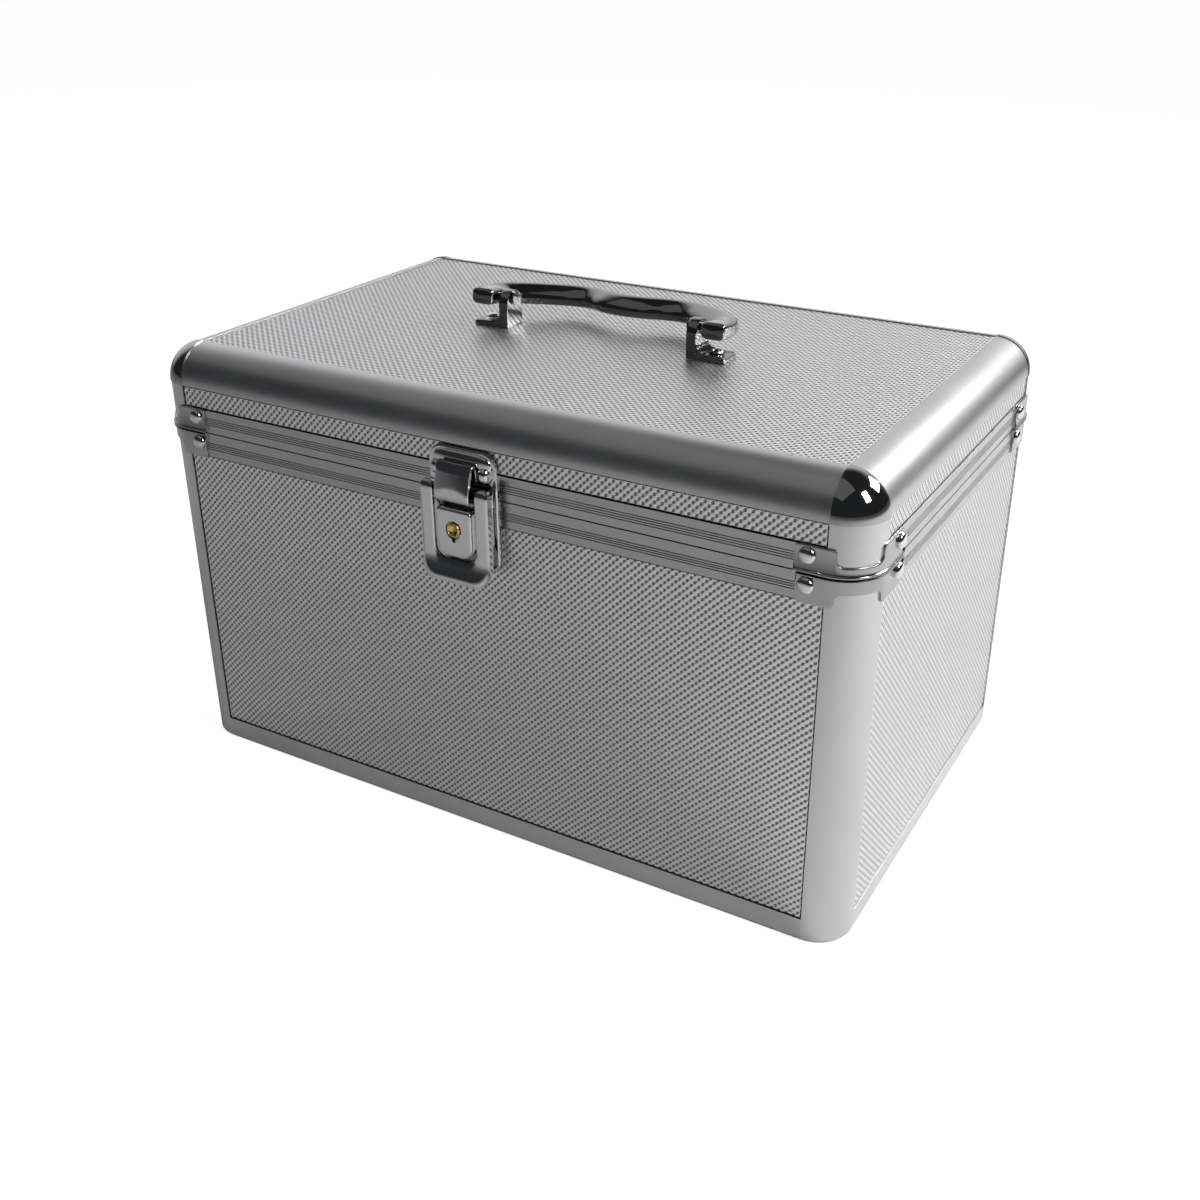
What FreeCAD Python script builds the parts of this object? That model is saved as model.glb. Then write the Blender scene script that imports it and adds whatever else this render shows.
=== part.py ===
import FreeCAD, Part
import math
import os

# Sewing box with two cantilever trays.  Millimetres, +Z up, front of the box facing -Y,
# origin on the ground under the middle of the case.

# ---- driving dimensions ----
WIDTH, DEPTH, HEIGHT = 300.0, 189.0, 177.0     # case without latch, hinges and handle
EDGE_R = 14.4                # radius of every quarter-round aluminium extrusion
SKIN = 1.5                   # wall of the quarter-round extrusions
WALL = 4.0                   # depth from the outer face to the back of a panel
RECESS = 0.4                 # panels sit this far behind the extrusions
LINING = 3.5                 # padded lining
SILL_H = 9.6                 # bottom edge strips
SEAM_Z, SEAM_GAP = 144.7, 0.5
BASE_BAND, LID_BAND = 134.8, 154.1             # lower edge of base rim, upper edge of lid rim
HINGE_OUT, HINGE_R = 3.0, 2.6                  # hinge axis behind the case, knuckle radius
LATCH_X = -1.0
LEVER_AXIS = (4.6, 147.2)                      # outward distance from the front face, height
CLAW_AXIS = (4.9, 143.6)
LOCK_Z = 133.4
HANDLE_Y, HANDLE_UP, HANDLE_TILT = -0.5, 11.4, -7.0
LINK_LONG, LINK_SHORT, LINK_ANGLE = 80.0, 40.0, 14.5
LINK_REAR, LINK_FRONT = (64.0, 92.0), (-2.0, 92.0)   # (y, z) of the link pivots in the base
TRAY_X = 136.9
UPPER_TRAY = (-85.0, 20.0, 108.0, 140.0)       # front, back, bottom, top
LOWER_TRAY = (-85.0, 35.0, 74.0, 106.0)
TRAY_WALL = 2.0

V = FreeCAD.Vector
X1, Y1 = WIDTH / 2.0, DEPTH / 2.0              # outer faces
XC, YC = X1 - EDGE_R, Y1 - EDGE_R              # where the flat panels end
ZC = HEIGHT - EDGE_R
PANEL_TOP = HEIGHT - RECESS
BASE_TOP, LID_BOTTOM = SEAM_Z - SEAM_GAP / 2.0, SEAM_Z + SEAM_GAP / 2.0
HINGE_Y = Y1 + HINGE_OUT


# ---- small geometry helpers ----
def box(x0, x1, y0, y1, z0, z1):
    return Part.makeBox(x1 - x0, y1 - y0, z1 - z0, V(x0, y0, z0))


def rod(x, y, z, r, length, axis):
    return Part.makeCylinder(r, length, V(x, y, z), V(*axis))


def prism(points, sweep):
    """Closed polygon swept along a vector."""
    corners = [V(*p) for p in points]
    return Part.Face(Part.makePolygon(corners + [corners[0]])).extrude(V(*sweep))


def fuse(shapes):
    out = shapes[0]
    for s in shapes[1:]:
        out = out.fuse(s)
    return out.removeSplitter()


def mirror_x(shape):
    return shape.mirror(V(0, 0, 0), V(1, 0, 0))


def mirror_y(shape):
    return shape.mirror(V(0, 0, 0), V(0, 1, 0))


def four(shape):
    """The piece at the four corners of the case."""
    return [shape, mirror_x(shape), mirror_y(shape), mirror_x(mirror_y(shape))]


def dome(x, y, z, r, h, axis):
    """Shallow domed rivet head standing on a face."""
    ball = (r * r + h * h) / (2.0 * h)
    a = V(*axis)
    centre = V(x, y, z) + a * (h - ball)
    return Part.makeSphere(ball, centre).common(Part.makeCylinder(r, h * 1.01, V(x, y, z), a))


def rounded_box(x1, y0, y1, z0, z1, r):
    block = box(-x1, x1, y0, y1, z0, z1)
    upright = [e for e in block.Edges if abs(e.Vertexes[0].Z - e.Vertexes[-1].Z) > 0.5 * (z1 - z0)]
    return block.makeFillet(r, upright)


def rail(section, side):
    """A straight strip along one side of the case; section is (depth from outer face, z)."""
    if side in ("front", "back"):
        s = -1.0 if side == "front" else 1.0
        return prism([(-XC, s * (Y1 - d), z) for d, z in section], (2 * XC, 0, 0))
    s = -1.0 if side == "left" else 1.0
    return prism([(s * (X1 - d), -YC, z) for d, z in section], (0, 2 * YC, 0))


def quarter_extrusion(centre, e1, e2, sweep):
    """Hollow quarter-round extrusion with a short web covering each panel edge."""
    web, r_in = 1.2, EDGE_R - SKIN
    c, a, b = V(*centre), V(*e1), V(*e2)

    def at(u, v):
        return c + a * u + b * v

    k = math.sqrt(0.5)
    h = math.sqrt(r_in * r_in - web * web)
    deep = EDGE_R - WALL
    edges = [Part.Arc(at(EDGE_R, 0), at(EDGE_R * k, EDGE_R * k), at(0, EDGE_R)).toShape(),
             Part.makeLine(at(0, EDGE_R), at(0, deep)),
             Part.makeLine(at(0, deep), at(web, deep)),
             Part.makeLine(at(web, deep), at(web, h)),
             Part.Arc(at(web, h), at(r_in * k, r_in * k), at(h, web)).toShape(),
             Part.makeLine(at(h, web), at(deep, web)),
             Part.makeLine(at(deep, web), at(deep, 0)),
             Part.makeLine(at(deep, 0), at(EDGE_R, 0))]
    return Part.Face(Part.Wire(edges)).extrude(V(*sweep))


def quarter_ring(r_out, r_in, z0, z1):
    """Curved band around the front right corner of the case."""
    tube = Part.makeCylinder(r_out, z1 - z0, V(XC, -YC, z0)).cut(
        Part.makeCylinder(r_in, z1 - z0, V(XC, -YC, z0)))
    return tube.common(box(XC, XC + 20, -YC - 20, -YC, z0, z1))


# ---- case shell ----
def grooved_face(z0, z1, grooves):
    """Outer face of a rim strip, bottom to top, with fine grooves at the given heights."""
    w, deep = 0.2, 0.35
    pts = [(0.0, z0)]
    for g in sorted(grooves):
        pts += [(0.0, g - w), (deep, g - w), (deep, g + w), (0.0, g + w)]
    return pts + [(0.0, z1)]


def base_rim(side):
    face = grooved_face(BASE_BAND, BASE_TOP, [BASE_TOP - d for d in (3.9, 4.8, 5.6, 6.5)])
    return rail(face + [(2.6, BASE_TOP), (2.6, SEAM_Z + 2.7), (WALL, SEAM_Z + 2.7), (WALL, BASE_BAND)],
                side)


def lid_rim(side):
    face = grooved_face(LID_BOTTOM, LID_BAND, [LID_BAND - d for d in (3.2, 4.1, 5.0, 5.9)])
    return rail(face + [(WALL, LID_BAND), (WALL, 148.0), (2.1, 148.0), (2.1, LID_BOTTOM)], side)


def sill(side):
    return rail([(0, SILL_H), (0, 1.8), (0.5, 0.5), (1.8, 0), (14, 0), (14, 2), (WALL, 2),
                 (WALL, SILL_H)], side)


def wall_panel(side, z0, z1):
    return rail([(RECESS, z0), (RECESS, z1), (WALL, z1), (WALL, z0)], side)


def corner_cap():
    disc = Part.makeCylinder(EDGE_R, SILL_H, V(XC, -YC, 0))
    disc = disc.makeFillet(1.8, [e for e in disc.Edges if e.Length > 50 and e.BoundBox.ZMax < 0.1])
    cup = disc.cut(Part.makeCylinder(EDGE_R - WALL, SILL_H, V(XC, -YC, 2.0)))
    return cup.common(box(XC, XC + 20, -YC - 20, -YC, 0, SILL_H))


def corner_bracket(z_leg0, z_leg1, z_band0, z_band1, lip0, lip1, reach_x, reach_y):
    """Pressed corner fitting: a curved band and two flat legs, with a rolled lip at the seam."""
    t, past = 0.7, 3.1
    band = quarter_ring(EDGE_R + t, EDGE_R - SKIN, z_band0, z_band1)
    wrap = quarter_ring(EDGE_R + t, EDGE_R, z_leg0, z_leg1)
    keep = [box(XC, XC + past, -Y1 - t, -Y1 + 1.5, z_leg0, z_leg1),
            box(X1 - 1.5, X1 + t, -YC - past, -YC, z_leg0, z_leg1)]
    legs = [box(XC - reach_x, XC, -Y1 - t, -Y1, z_leg0, z_leg1),
            box(X1, X1 + t, -YC, -YC + reach_y, z_leg0, z_leg1)]
    ends = wrap.common(fuse(keep))
    lip = quarter_ring(EDGE_R + t + 0.6, EDGE_R, lip0, lip1)
    rolled = [box(XC - reach_x, XC, -Y1 - t - 0.6, -Y1, lip0, lip1),
              box(X1, X1 + t + 0.6, -YC, -YC + reach_y, lip0, lip1)]
    return fuse([band, ends, lip] + legs + rolled)


def lining_shell(z_open, z_floor, z_out):
    """Padded liner with one open face; the floor lies between z_floor and z_out."""
    lo, hi = min(z_open, z_out), max(z_open, z_out)
    outer = rounded_box(X1 - WALL, -Y1 + WALL, Y1 - WALL, lo, hi, EDGE_R - WALL)
    in_lo, in_hi = min(z_open, z_floor), max(z_open, z_floor)
    extra = (-1.0, 0.0) if z_open < z_floor else (0.0, 1.0)
    d = WALL + LINING
    inner = rounded_box(X1 - d, -Y1 + d, Y1 - d, in_lo + extra[0], in_hi + extra[1], EDGE_R - d)
    return outer.cut(inner)


def lid_liner():
    shell = lining_shell(148.4, HEIGHT - WALL - LINING, HEIGHT - WALL)
    rim = [e for e in shell.Edges if e.BoundBox.ZMin > HEIGHT - WALL - 0.01 and
           e.BoundBox.ZMax < HEIGHT - WALL + 0.01]
    # bevelled on top so that the liner follows the quarter-round extrusions
    return shell.makeChamfer(6.0, rim)


# ---- back hinges ----
def hinge_strip(x, base_side):
    """One leaf with its knuckles; three knuckles on the base leaf, two on the lid leaf."""
    half, n, gap = 20.0, 5, 0.15
    step = 2 * half / n
    if base_side:
        plate = box(x - half, x + half, Y1, Y1 + 1.2, 128.0, SEAM_Z - 3.0)
        web, bore, which = (SEAM_Z - 4.2, SEAM_Z - 0.5), 1.0, (0, 2, 4)
    else:
        plate = box(x - half, x + half, Y1, Y1 + 1.2, SEAM_Z + 3.0, 161.0)
        web, bore, which = (SEAM_Z + 0.5, SEAM_Z + 4.2), 1.05, (1, 3)
    parts = [plate]
    for i in which:
        a, b = x - half + i * step + gap, x - half + (i + 1) * step - gap
        parts.append(rod(a, HINGE_Y, SEAM_Z, HINGE_R, b - a, (1, 0, 0)))
        parts.append(box(a, b, Y1, Y1 + 2.2, web[0], web[1]))
    leaf = fuse(parts)
    return leaf.cut(rod(x - half - 1, HINGE_Y, SEAM_Z, bore, 2 * half + 2, (1, 0, 0)))


# ---- latch, outward distance q measured from the front face ----
def front(points, x0, x1):
    """Plate with a (q, z) outline, swept from x0 to x1 beside the latch centre line."""
    return prism([(LATCH_X + x0, -Y1 - q, z) for q, z in points], (x1 - x0, 0, 0))


def plate_front(x, z0, z1, q0, q1, r_low, r_high):
    """Flat plate parallel to the front face with rounded lower and upper corners."""
    p = box(LATCH_X - x, LATCH_X + x, -Y1 - q1, -Y1 - q0, z0, z1)
    for r, z in ((r_low, z0), (r_high, z1)):
        if r:
            p = p.makeFillet(r, [e for e in p.Edges if e.BoundBox.YLength > 0.5 * (q1 - q0)
                                 and e.BoundBox.XLength < 0.01 and abs(e.BoundBox.ZMin - z) < 0.01
                                 and e.BoundBox.ZLength < 0.01])
    return p


def round_end(axis, r, x0, x1):
    return rod(LATCH_X + x0, -Y1 - axis[0], axis[1], r, x1 - x0, (1, 0, 0))


def latch_plate():
    plate = plate_front(14.4, 116.0, 144.2, 0.0, 1.2, 5.0, 0)
    parts = [plate]
    q, z = LEVER_AXIS
    for x0, x1 in ((10.3, 11.5), (-11.5, -10.3)):
        ear = front([(1.0, 137.0), (q + 1.5, z), (q - 1.4, z - 0.5), (1.0, 144.0)], x0, x1)
        parts += [ear, round_end(LEVER_AXIS, 1.5, x0, x1)]
    return fuse(parts).cut(round_end(LEVER_AXIS, 0.9, -16, 16))


def lock_housing():
    body = plate_front(8.0, 122.6, 141.2, 1.2, 8.2, 4.5, 0.8)
    rim = [e for e in body.Edges if abs(e.BoundBox.YMin + Y1 + 8.2) < 0.01
           and abs(e.BoundBox.YMax + Y1 + 8.2) < 0.01]
    body = body.makeChamfer(0.7, rim)
    return body.cut(rod(LATCH_X, -Y1 - 9.0, LOCK_Z, 2.8, 2.6, (0, 1, 0)))


def lock_cylinder():
    plug = rod(LATCH_X, -Y1 - 8.7, LOCK_Z, 2.75, 2.2, (0, 1, 0))
    return plug.cut(box(LATCH_X - 0.45, LATCH_X + 0.45, -Y1 - 9.0, -Y1 - 7.6, LOCK_Z - 2.0, LOCK_Z + 1.2))


def latch_lever():
    q, z = LEVER_AXIS
    lo, q_in, q_out, side, inner = 113.0, q - 3.0, q + 3.0, 14.5, 9.0
    shell = plate_front(side, lo, z, q_in, q_out, 6.0, 0)
    shell = shell.cut(plate_front(side - 1.3, lo + 1.3, z + 1, q_in - 1, q_out - 1.1, 4.8, 0))
    window = box(LATCH_X - inner, LATCH_X + inner, -Y1 - q_out - 1, -Y1, 121.3, z + 9)
    parts = [shell.cut(window)]
    for s in (1, -1):
        for x0, x1 in ((inner, inner + 1.0), (side - 1.3, side)):
            a, b = (x0, x1) if s > 0 else (-x1, -x0)
            parts.append(round_end(LEVER_AXIS, 3.0, a, b))
        a, b = (inner, side) if s > 0 else (-side, -inner)
        nose = round_end(LEVER_AXIS, 3.0, a, b).cut(round_end(LEVER_AXIS, 1.9, a, b))
        parts.append(nose.common(box(-30, 30, -Y1 - q_out - 1, -Y1 - q, z - 1, z + 5)))
        a, b = (inner, inner + 1.0) if s > 0 else (-inner - 1.0, -inner)
        parts.append(front([(q_out - 0.2, 121.3), (q_out - 0.2, z), (q_in, z), (q_in, 141.0),
                            (q_out - 2.5, 136.0), (q_out - 2.5, 121.3)], a, b))
    lip = front([(q_out - 0.3, 118.5), (q_out + 1.3, 115.8), (q_out + 1.3, 113.8), (q_out, lo),
                 (q_out - 0.3, lo)], -8.5, 8.5)
    body = fuse(parts + [lip])
    return body.cut(round_end(LEVER_AXIS, 0.95, -16, 16)).cut(round_end(CLAW_AXIS, 0.8, -10.5, 10.5))


def latch_claw():
    eye = round_end(CLAW_AXIS, 1.5, -7.3, 7.3)
    arm = front([(CLAW_AXIS[0], 142.3), (9.0, 144.3), (9.0, 157.0), (8.0, 158.0), (3.6, 158.0),
                 (3.6, 156.5), (7.7, 156.5), (7.7, 145.6), (CLAW_AXIS[0], 145.0)], -7.3, 7.3)
    return fuse([eye, arm]).cut(round_end(CLAW_AXIS, 0.85, -8, 8))


def latch_catch():
    plate = plate_front(14.4, 145.1, 161.8, 0.0, 1.0, 0, 6.0)
    pillow = plate_front(12.6, 150.6, 160.6, 1.0, 2.4, 0, 5.0)
    pillow = pillow.makeChamfer(1.0, [e for e in pillow.Edges if abs(e.BoundBox.YMin + Y1 + 2.4) < 0.01
                                      and abs(e.BoundBox.YMax + Y1 + 2.4) < 0.01])
    bar = front([(0.9, 150.8), (3.2, 151.6), (3.2, 156.0), (0.9, 156.0)], -7.0, 7.0)
    return fuse([plate, pillow, bar])


# ---- carrying handle ----
HANDLE_OUTLINE = [(57.0, -7.0), (57.0, -3.6), (57.0, 0.0), (56.8, 4.0), (55.2, 10.0), (51.0, 16.0),
                  (44.3, 21.6), (36.8, 26.3), (29.0, 29.9), (21.2, 31.2), (14.0, 29.6), (7.2, 26.4),
                  (0.0, 25.2)]
HANDLE_WIDE, HANDLE_THICK, HANDLE_SOFT = 10.0, 6.6, 2.4


def grip_section(x, y, z):
    """Rounded rectangle across the grip bar, standing in the XZ plane."""
    a, b, r = HANDLE_WIDE / 2.0, HANDLE_THICK / 2.0, HANDLE_SOFT
    k = r * (1.0 - math.sqrt(0.5))
    edges = []
    for sx, sz, turn in ((1, 1, 0), (-1, 1, 1), (-1, -1, 0), (1, -1, 1)):
        side, flat = V(x + sx * a, y, z + sz * (b - r)), V(x + sx * (a - r), y, z + sz * b)
        middle = V(x + sx * (a - k), y, z + sz * (b - k))
        start, end = (side, flat) if not turn else (flat, side)
        if edges:
            edges.append(Part.makeLine(edges[-1].Vertexes[-1].Point, start))
        edges.append(Part.Arc(start, middle, end).toShape())
    edges.append(Part.makeLine(edges[-1].Vertexes[-1].Point, edges[0].Vertexes[0].Point))
    return Part.Wire(edges)


def handle():
    """Twin-hump grip: a rounded section carried along the middle line of the bar."""
    right = HANDLE_OUTLINE
    outer = [(-x, y) for x, y in right[:-1]] + right[::-1]
    middle = []
    for i, (x, y) in enumerate(outer):
        ax, ay = outer[max(i - 1, 0)]
        bx, by = outer[min(i + 1, len(outer) - 1)]
        tx, ty = bx - ax, by - ay
        n = math.hypot(tx, ty)
        middle.append(V(x + ty / n * HANDLE_WIDE / 2.0, y - tx / n * HANDLE_WIDE / 2.0, 0))
    curve = Part.BSplineCurve()
    curve.interpolate(Points=middle, InitialTangent=V(0, 1, 0), FinalTangent=V(0, -1, 0))
    path = Part.Wire([curve.toShape()])
    grip = path.makePipeShell([grip_section(middle[0].x, middle[0].y, 0)], True, False)
    end_y, b, c = HANDLE_OUTLINE[0][1], HANDLE_THICK / 2.0, 1.8
    for s in (-1, 1):
        for sz in (-1, 1):
            grip = grip.cut(prism([(s * 40.0, end_y - 1, sz * (b - c - 1)),
                                   (s * 40.0, end_y + c + 0.1, sz * (b + 0.1)),
                                   (s * 40.0, end_y - 1, sz * (b + 0.1))], (s * 20.0, 0, 0)))
        grip = grip.cut(rod(46.0 if s > 0 else -54.3, 0, 0, 1.75, 8.3, (1, 0, 0)))
    grip.rotate(V(0, 0, 0), V(1, 0, 0), HANDLE_TILT)
    grip.translate(V(0, HANDLE_Y, PANEL_TOP + HANDLE_UP))
    return grip


def handle_bracket():
    """Right bracket: upright plate with a round top and a foot on the lid."""
    y0, y1, foot = HANDLE_Y - 5.5, HANDLE_Y + 5.5, 2.6
    up = box(40.5, 44.7, y0, y1, PANEL_TOP, PANEL_TOP + 9.2)
    top = rod(40.5, HANDLE_Y, PANEL_TOP + 9.2, 5.5, 4.2, (1, 0, 0))
    base = prism([(44.0, y0, PANEL_TOP), (57.0, y0, PANEL_TOP), (57.0, y0, PANEL_TOP + 1.2),
                  (55.4, y0, PANEL_TOP + foot), (44.0, y0, PANEL_TOP + foot)], (0, y1 - y0, 0))
    fillet = box(44.7, 48.7, y0, y1, PANEL_TOP + foot, PANEL_TOP + foot + 4.0).cut(
        rod(48.7, y0 - 1, PANEL_TOP + foot + 4.0, 4.0, 13.0, (0, 1, 0)))
    body = fuse([up, top, base, fillet])
    return body.cut(rod(40.0, HANDLE_Y, PANEL_TOP + HANDLE_UP, 1.7, 6.0, (1, 0, 0)))


def handle_pin():
    z = PANEL_TOP + HANDLE_UP
    return rod(39.6, HANDLE_Y, z, 1.7, 14.4, (1, 0, 0)).fuse(
        rod(39.3, HANDLE_Y, z, 2.7, 1.2, (1, 0, 0))).removeSplitter()


# ---- trays and their linkage; the links lie between the tray ends and the case lining ----
LINK_X, LINK_T = (139.6, 141.0), 1.4
STRUT_X = (138.0, 139.2)


def link_point(base, length):
    a = math.radians(LINK_ANGLE)
    return (base[0] - length * math.cos(a), base[1] + length * math.sin(a))


def bar_link(p, q, x0, x1, r, holes):
    """Flat bar with round ends between two (y, z) points."""
    dy, dz = q[0] - p[0], q[1] - p[1]
    n = math.hypot(dy, dz)
    oy, oz = -dz / n * r, dy / n * r
    flat = prism([(x0, p[0] + oy, p[1] + oz), (x0, q[0] + oy, q[1] + oz),
                  (x0, q[0] - oy, q[1] - oz), (x0, p[0] - oy, p[1] - oz)], (x1 - x0, 0, 0))
    body = fuse([flat] + [rod(x0, y, z, r, x1 - x0, (1, 0, 0)) for y, z in (p, q)])
    for (y, z), hole in holes:
        body = body.cut(rod(x0 - 1, y, z, hole, x1 - x0 + 2, (1, 0, 0)))
    return body


def stepped_pin(point, steps):
    """Rivet along X made of (x0, x1, radius) steps."""
    y, z = point
    return fuse([rod(a, y, z, r, b - a, (1, 0, 0)) for a, b, r in steps])


REAR_TOP, REAR_MID = link_point(LINK_REAR, LINK_LONG), link_point(LINK_REAR, LINK_SHORT)
FRONT_TOP, FRONT_MID = link_point(LINK_FRONT, LINK_LONG), link_point(LINK_FRONT, LINK_SHORT)
LID_PIVOT = (HINGE_Y + REAR_TOP[0] - LINK_REAR[0], SEAM_Z + REAR_TOP[1] - LINK_REAR[1])


def tray(extent):
    y0, y1, z0, z1 = extent
    t = TRAY_WALL
    shell = rounded_box(TRAY_X, y0, y1, z0, z1, 4.0).cut(
        rounded_box(TRAY_X - t, y0 + t, y1 - t, z0 + t, z1 + 1.0, 2.2))
    return shell


def dividers(extent, y_long, cross_front, cross_back):
    """Loose divider set: one long wall and short cross walls, standing on the tray floor."""
    y0, y1, z0, z1 = extent
    t, w, top, gap = TRAY_WALL, 1.6, z1 - 5.0, 0.3
    x = TRAY_X - t - gap
    parts = [box(-x, x, y_long - w / 2, y_long + w / 2, z0 + t, top)]
    for c in cross_front:
        parts.append(box(c - w / 2, c + w / 2, y0 + t + gap, y_long, z0 + t, top))
    for c in cross_back:
        parts.append(box(c - w / 2, c + w / 2, y_long, y1 - t - gap, z0 + t, top))
    return fuse(parts)


def build():
    n = {}
    sides = ("front", "back", "left", "right")
    for s in sides:
        n["base_panel_" + s] = wall_panel(s, SILL_H, BASE_BAND)
        n["base_rim_" + s] = base_rim(s)
        n["lid_edge_" + s] = None
        n["lid_rim_" + s] = lid_rim(s)
    n["base_sills"] = Part.makeCompound([sill(s) for s in sides])
    n["lid_strips"] = Part.makeCompound([wall_panel(s, LID_BAND, ZC) for s in sides])
    n["base_panel_bottom"] = rounded_box(X1 - WALL, -Y1 + WALL, Y1 - WALL, 2.0, 6.0, EDGE_R - WALL)
    n["lid_panel_top"] = box(-XC, XC, -YC, YC, HEIGHT - WALL, PANEL_TOP)

    post = quarter_extrusion((XC, -YC, SILL_H), (1, 0, 0), (0, -1, 0), (0, 0, 139.1 - SILL_H))
    names = ("front_right", "front_left", "back_right", "back_left")
    for name, piece in zip(names, four(post)):
        n["base_post_" + name] = piece
    lid_post = quarter_extrusion((XC, -YC, 148.5), (1, 0, 0), (0, -1, 0), (0, 0, ZC - 148.5))
    n["lid_posts"] = Part.makeCompound(four(lid_post))
    front_edge = quarter_extrusion((-XC, -YC, ZC), (0, -1, 0), (0, 0, 1), (2 * XC, 0, 0))
    right_edge = quarter_extrusion((XC, -YC, ZC), (1, 0, 0), (0, 0, 1), (0, 2 * YC, 0))
    n["lid_edge_front"], n["lid_edge_back"] = front_edge, mirror_y(front_edge)
    n["lid_edge_right"], n["lid_edge_left"] = right_edge, mirror_x(right_edge)
    ball = Part.makeSphere(EDGE_R + 0.3, V(XC, -YC, ZC)).cut(
        Part.makeSphere(EDGE_R - SKIN, V(XC, -YC, ZC)))
    ball = ball.common(box(XC, XC + 20, -YC - 20, -YC, ZC, ZC + 20))
    n["lid_ball_corners"] = Part.makeCompound(four(ball))
    n["base_corner_caps"] = Part.makeCompound(four(corner_cap()))
    n["base_brackets"] = Part.makeCompound(four(corner_bracket(
        134.2, BASE_TOP, 139.1, BASE_TOP, BASE_TOP - 0.8, BASE_TOP, 9.8, 14.0)))
    n["lid_brackets"] = Part.makeCompound(four(corner_bracket(
        LID_BOTTOM, 154.4, LID_BOTTOM, 148.5, LID_BOTTOM, LID_BOTTOM + 0.8, 10.6, 14.0)))
    base_rivets, lid_rivets = [], []
    for group, z in ((base_rivets, 140.4), (lid_rivets, 150.9)):
        group += four(dome(129.3, -Y1 - 0.7, z, 2.4, 1.2, (0, -1, 0)))
        group += four(dome(X1 + 0.7, -70.0, z, 2.4, 1.2, (1, 0, 0)))
    for x in (-97.0, -73.0, 73.0, 97.0):
        base_rivets.append(dome(x, Y1 + 1.2, 134.0, 2.2, 1.0, (0, 1, 0)))
        lid_rivets.append(dome(x, Y1 + 1.2, 155.0, 2.2, 1.0, (0, 1, 0)))
    foot_rivet = dome(51.2, HANDLE_Y, PANEL_TOP + 2.6, 2.6, 1.2, (0, 0, 1))
    lid_rivets += [foot_rivet, mirror_x(foot_rivet)]
    n["base_rivets"], n["lid_rivets"] = Part.makeCompound(base_rivets), Part.makeCompound(lid_rivets)
    n["base_lining"] = lining_shell(143.6, 6.0 + 2.0, 6.0)
    n["lid_lining"] = lid_liner()

    n["hinge_leaves_base"] = Part.makeCompound([hinge_strip(x, True) for x in (-85.0, 85.0)])
    n["hinge_leaves_lid"] = Part.makeCompound([hinge_strip(x, False) for x in (-85.0, 85.0)])
    n["hinge_pins"] = Part.makeCompound([rod(x - 20, HINGE_Y, SEAM_Z, 1.0, 40, (1, 0, 0))
                                         for x in (-85.0, 85.0)])

    n["latch_plate"], n["lock_housing"] = latch_plate(), lock_housing()
    n["lock_cylinder"], n["latch_lever"] = lock_cylinder(), latch_lever()
    n["latch_claw"], n["latch_catch"] = latch_claw(), latch_catch()
    n["lever_pin"] = round_end(LEVER_AXIS, 0.9, -14.3, 14.3)
    n["claw_pin"] = round_end(CLAW_AXIS, 0.8, -9.9, 9.9)

    n["handle"] = handle()
    n["handle_bracket_right"] = handle_bracket()
    n["handle_bracket_left"] = mirror_x(handle_bracket())
    n["handle_pins"] = Part.makeCompound([handle_pin(), mirror_x(handle_pin())])

    wide, run, free = 4.5, 1.55, 2.0
    rear = bar_link(LINK_REAR, REAR_TOP, *LINK_X, wide,
                    [(LINK_REAR, run), (REAR_MID, run), (REAR_TOP, run)])
    fore = bar_link(LINK_FRONT, FRONT_TOP, *LINK_X, wide,
                    [(LINK_FRONT, run), (FRONT_MID, free), (FRONT_TOP, free)])
    strut = bar_link(REAR_TOP, LID_PIVOT, *STRUT_X, 4.0, [(REAR_TOP, free), (LID_PIVOT, run)])
    for name, piece in (("rear_links", rear), ("front_links", fore), ("lid_struts", strut)):
        n[name] = Part.makeCompound([piece, mirror_x(piece)])
    lining_x = X1 - WALL - LINING
    base_pins = [stepped_pin(p, [(141.3, lining_x, 4.0), (138.7, lining_x, 1.5), (138.7, 139.3, 2.6)])
                 for p in (LINK_REAR, LINK_FRONT)]
    lid_pin = stepped_pin(LID_PIVOT, [(139.5, lining_x, 3.2), (137.2, lining_x, 1.5),
                                      (137.2, 137.7, 2.6)])
    head = (141.3, 141.9, 2.6)
    upper_pins = [stepped_pin(REAR_TOP, [(TRAY_X, 141.9, 1.5), (TRAY_X, 137.6, 3.0), head]),
                  stepped_pin(FRONT_TOP, [(TRAY_X, 141.9, 1.5), (TRAY_X, 139.2, 3.0), head])]
    lower_pins = [stepped_pin(p, [(TRAY_X, 141.9, 1.5), (TRAY_X, 139.2, 3.0), head])
                  for p in (REAR_MID, FRONT_MID)]
    for name, pins in (("base_link_pins", base_pins), ("lid_strut_pins", [lid_pin]),
                       ("upper_tray_pins", upper_pins), ("lower_tray_pins", lower_pins)):
        n[name] = Part.makeCompound(pins + [mirror_x(p) for p in pins])
    n["upper_tray"], n["lower_tray"] = tray(UPPER_TRAY), tray(LOWER_TRAY)
    n["upper_tray_dividers"] = dividers(UPPER_TRAY, -32.0, (-45.0, 45.0), (0.0,))
    n["lower_tray_dividers"] = dividers(LOWER_TRAY, -25.0, (0.0,), ())
    return n


os.makedirs("parts", exist_ok=True)
for name, shape in build().items():
    shape.exportStep("parts/%s.step" % name)
    print("%-24s solids %d valid %s volume %.1f" % (name, len(shape.Solids), shape.isValid(), shape.Volume))
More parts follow.
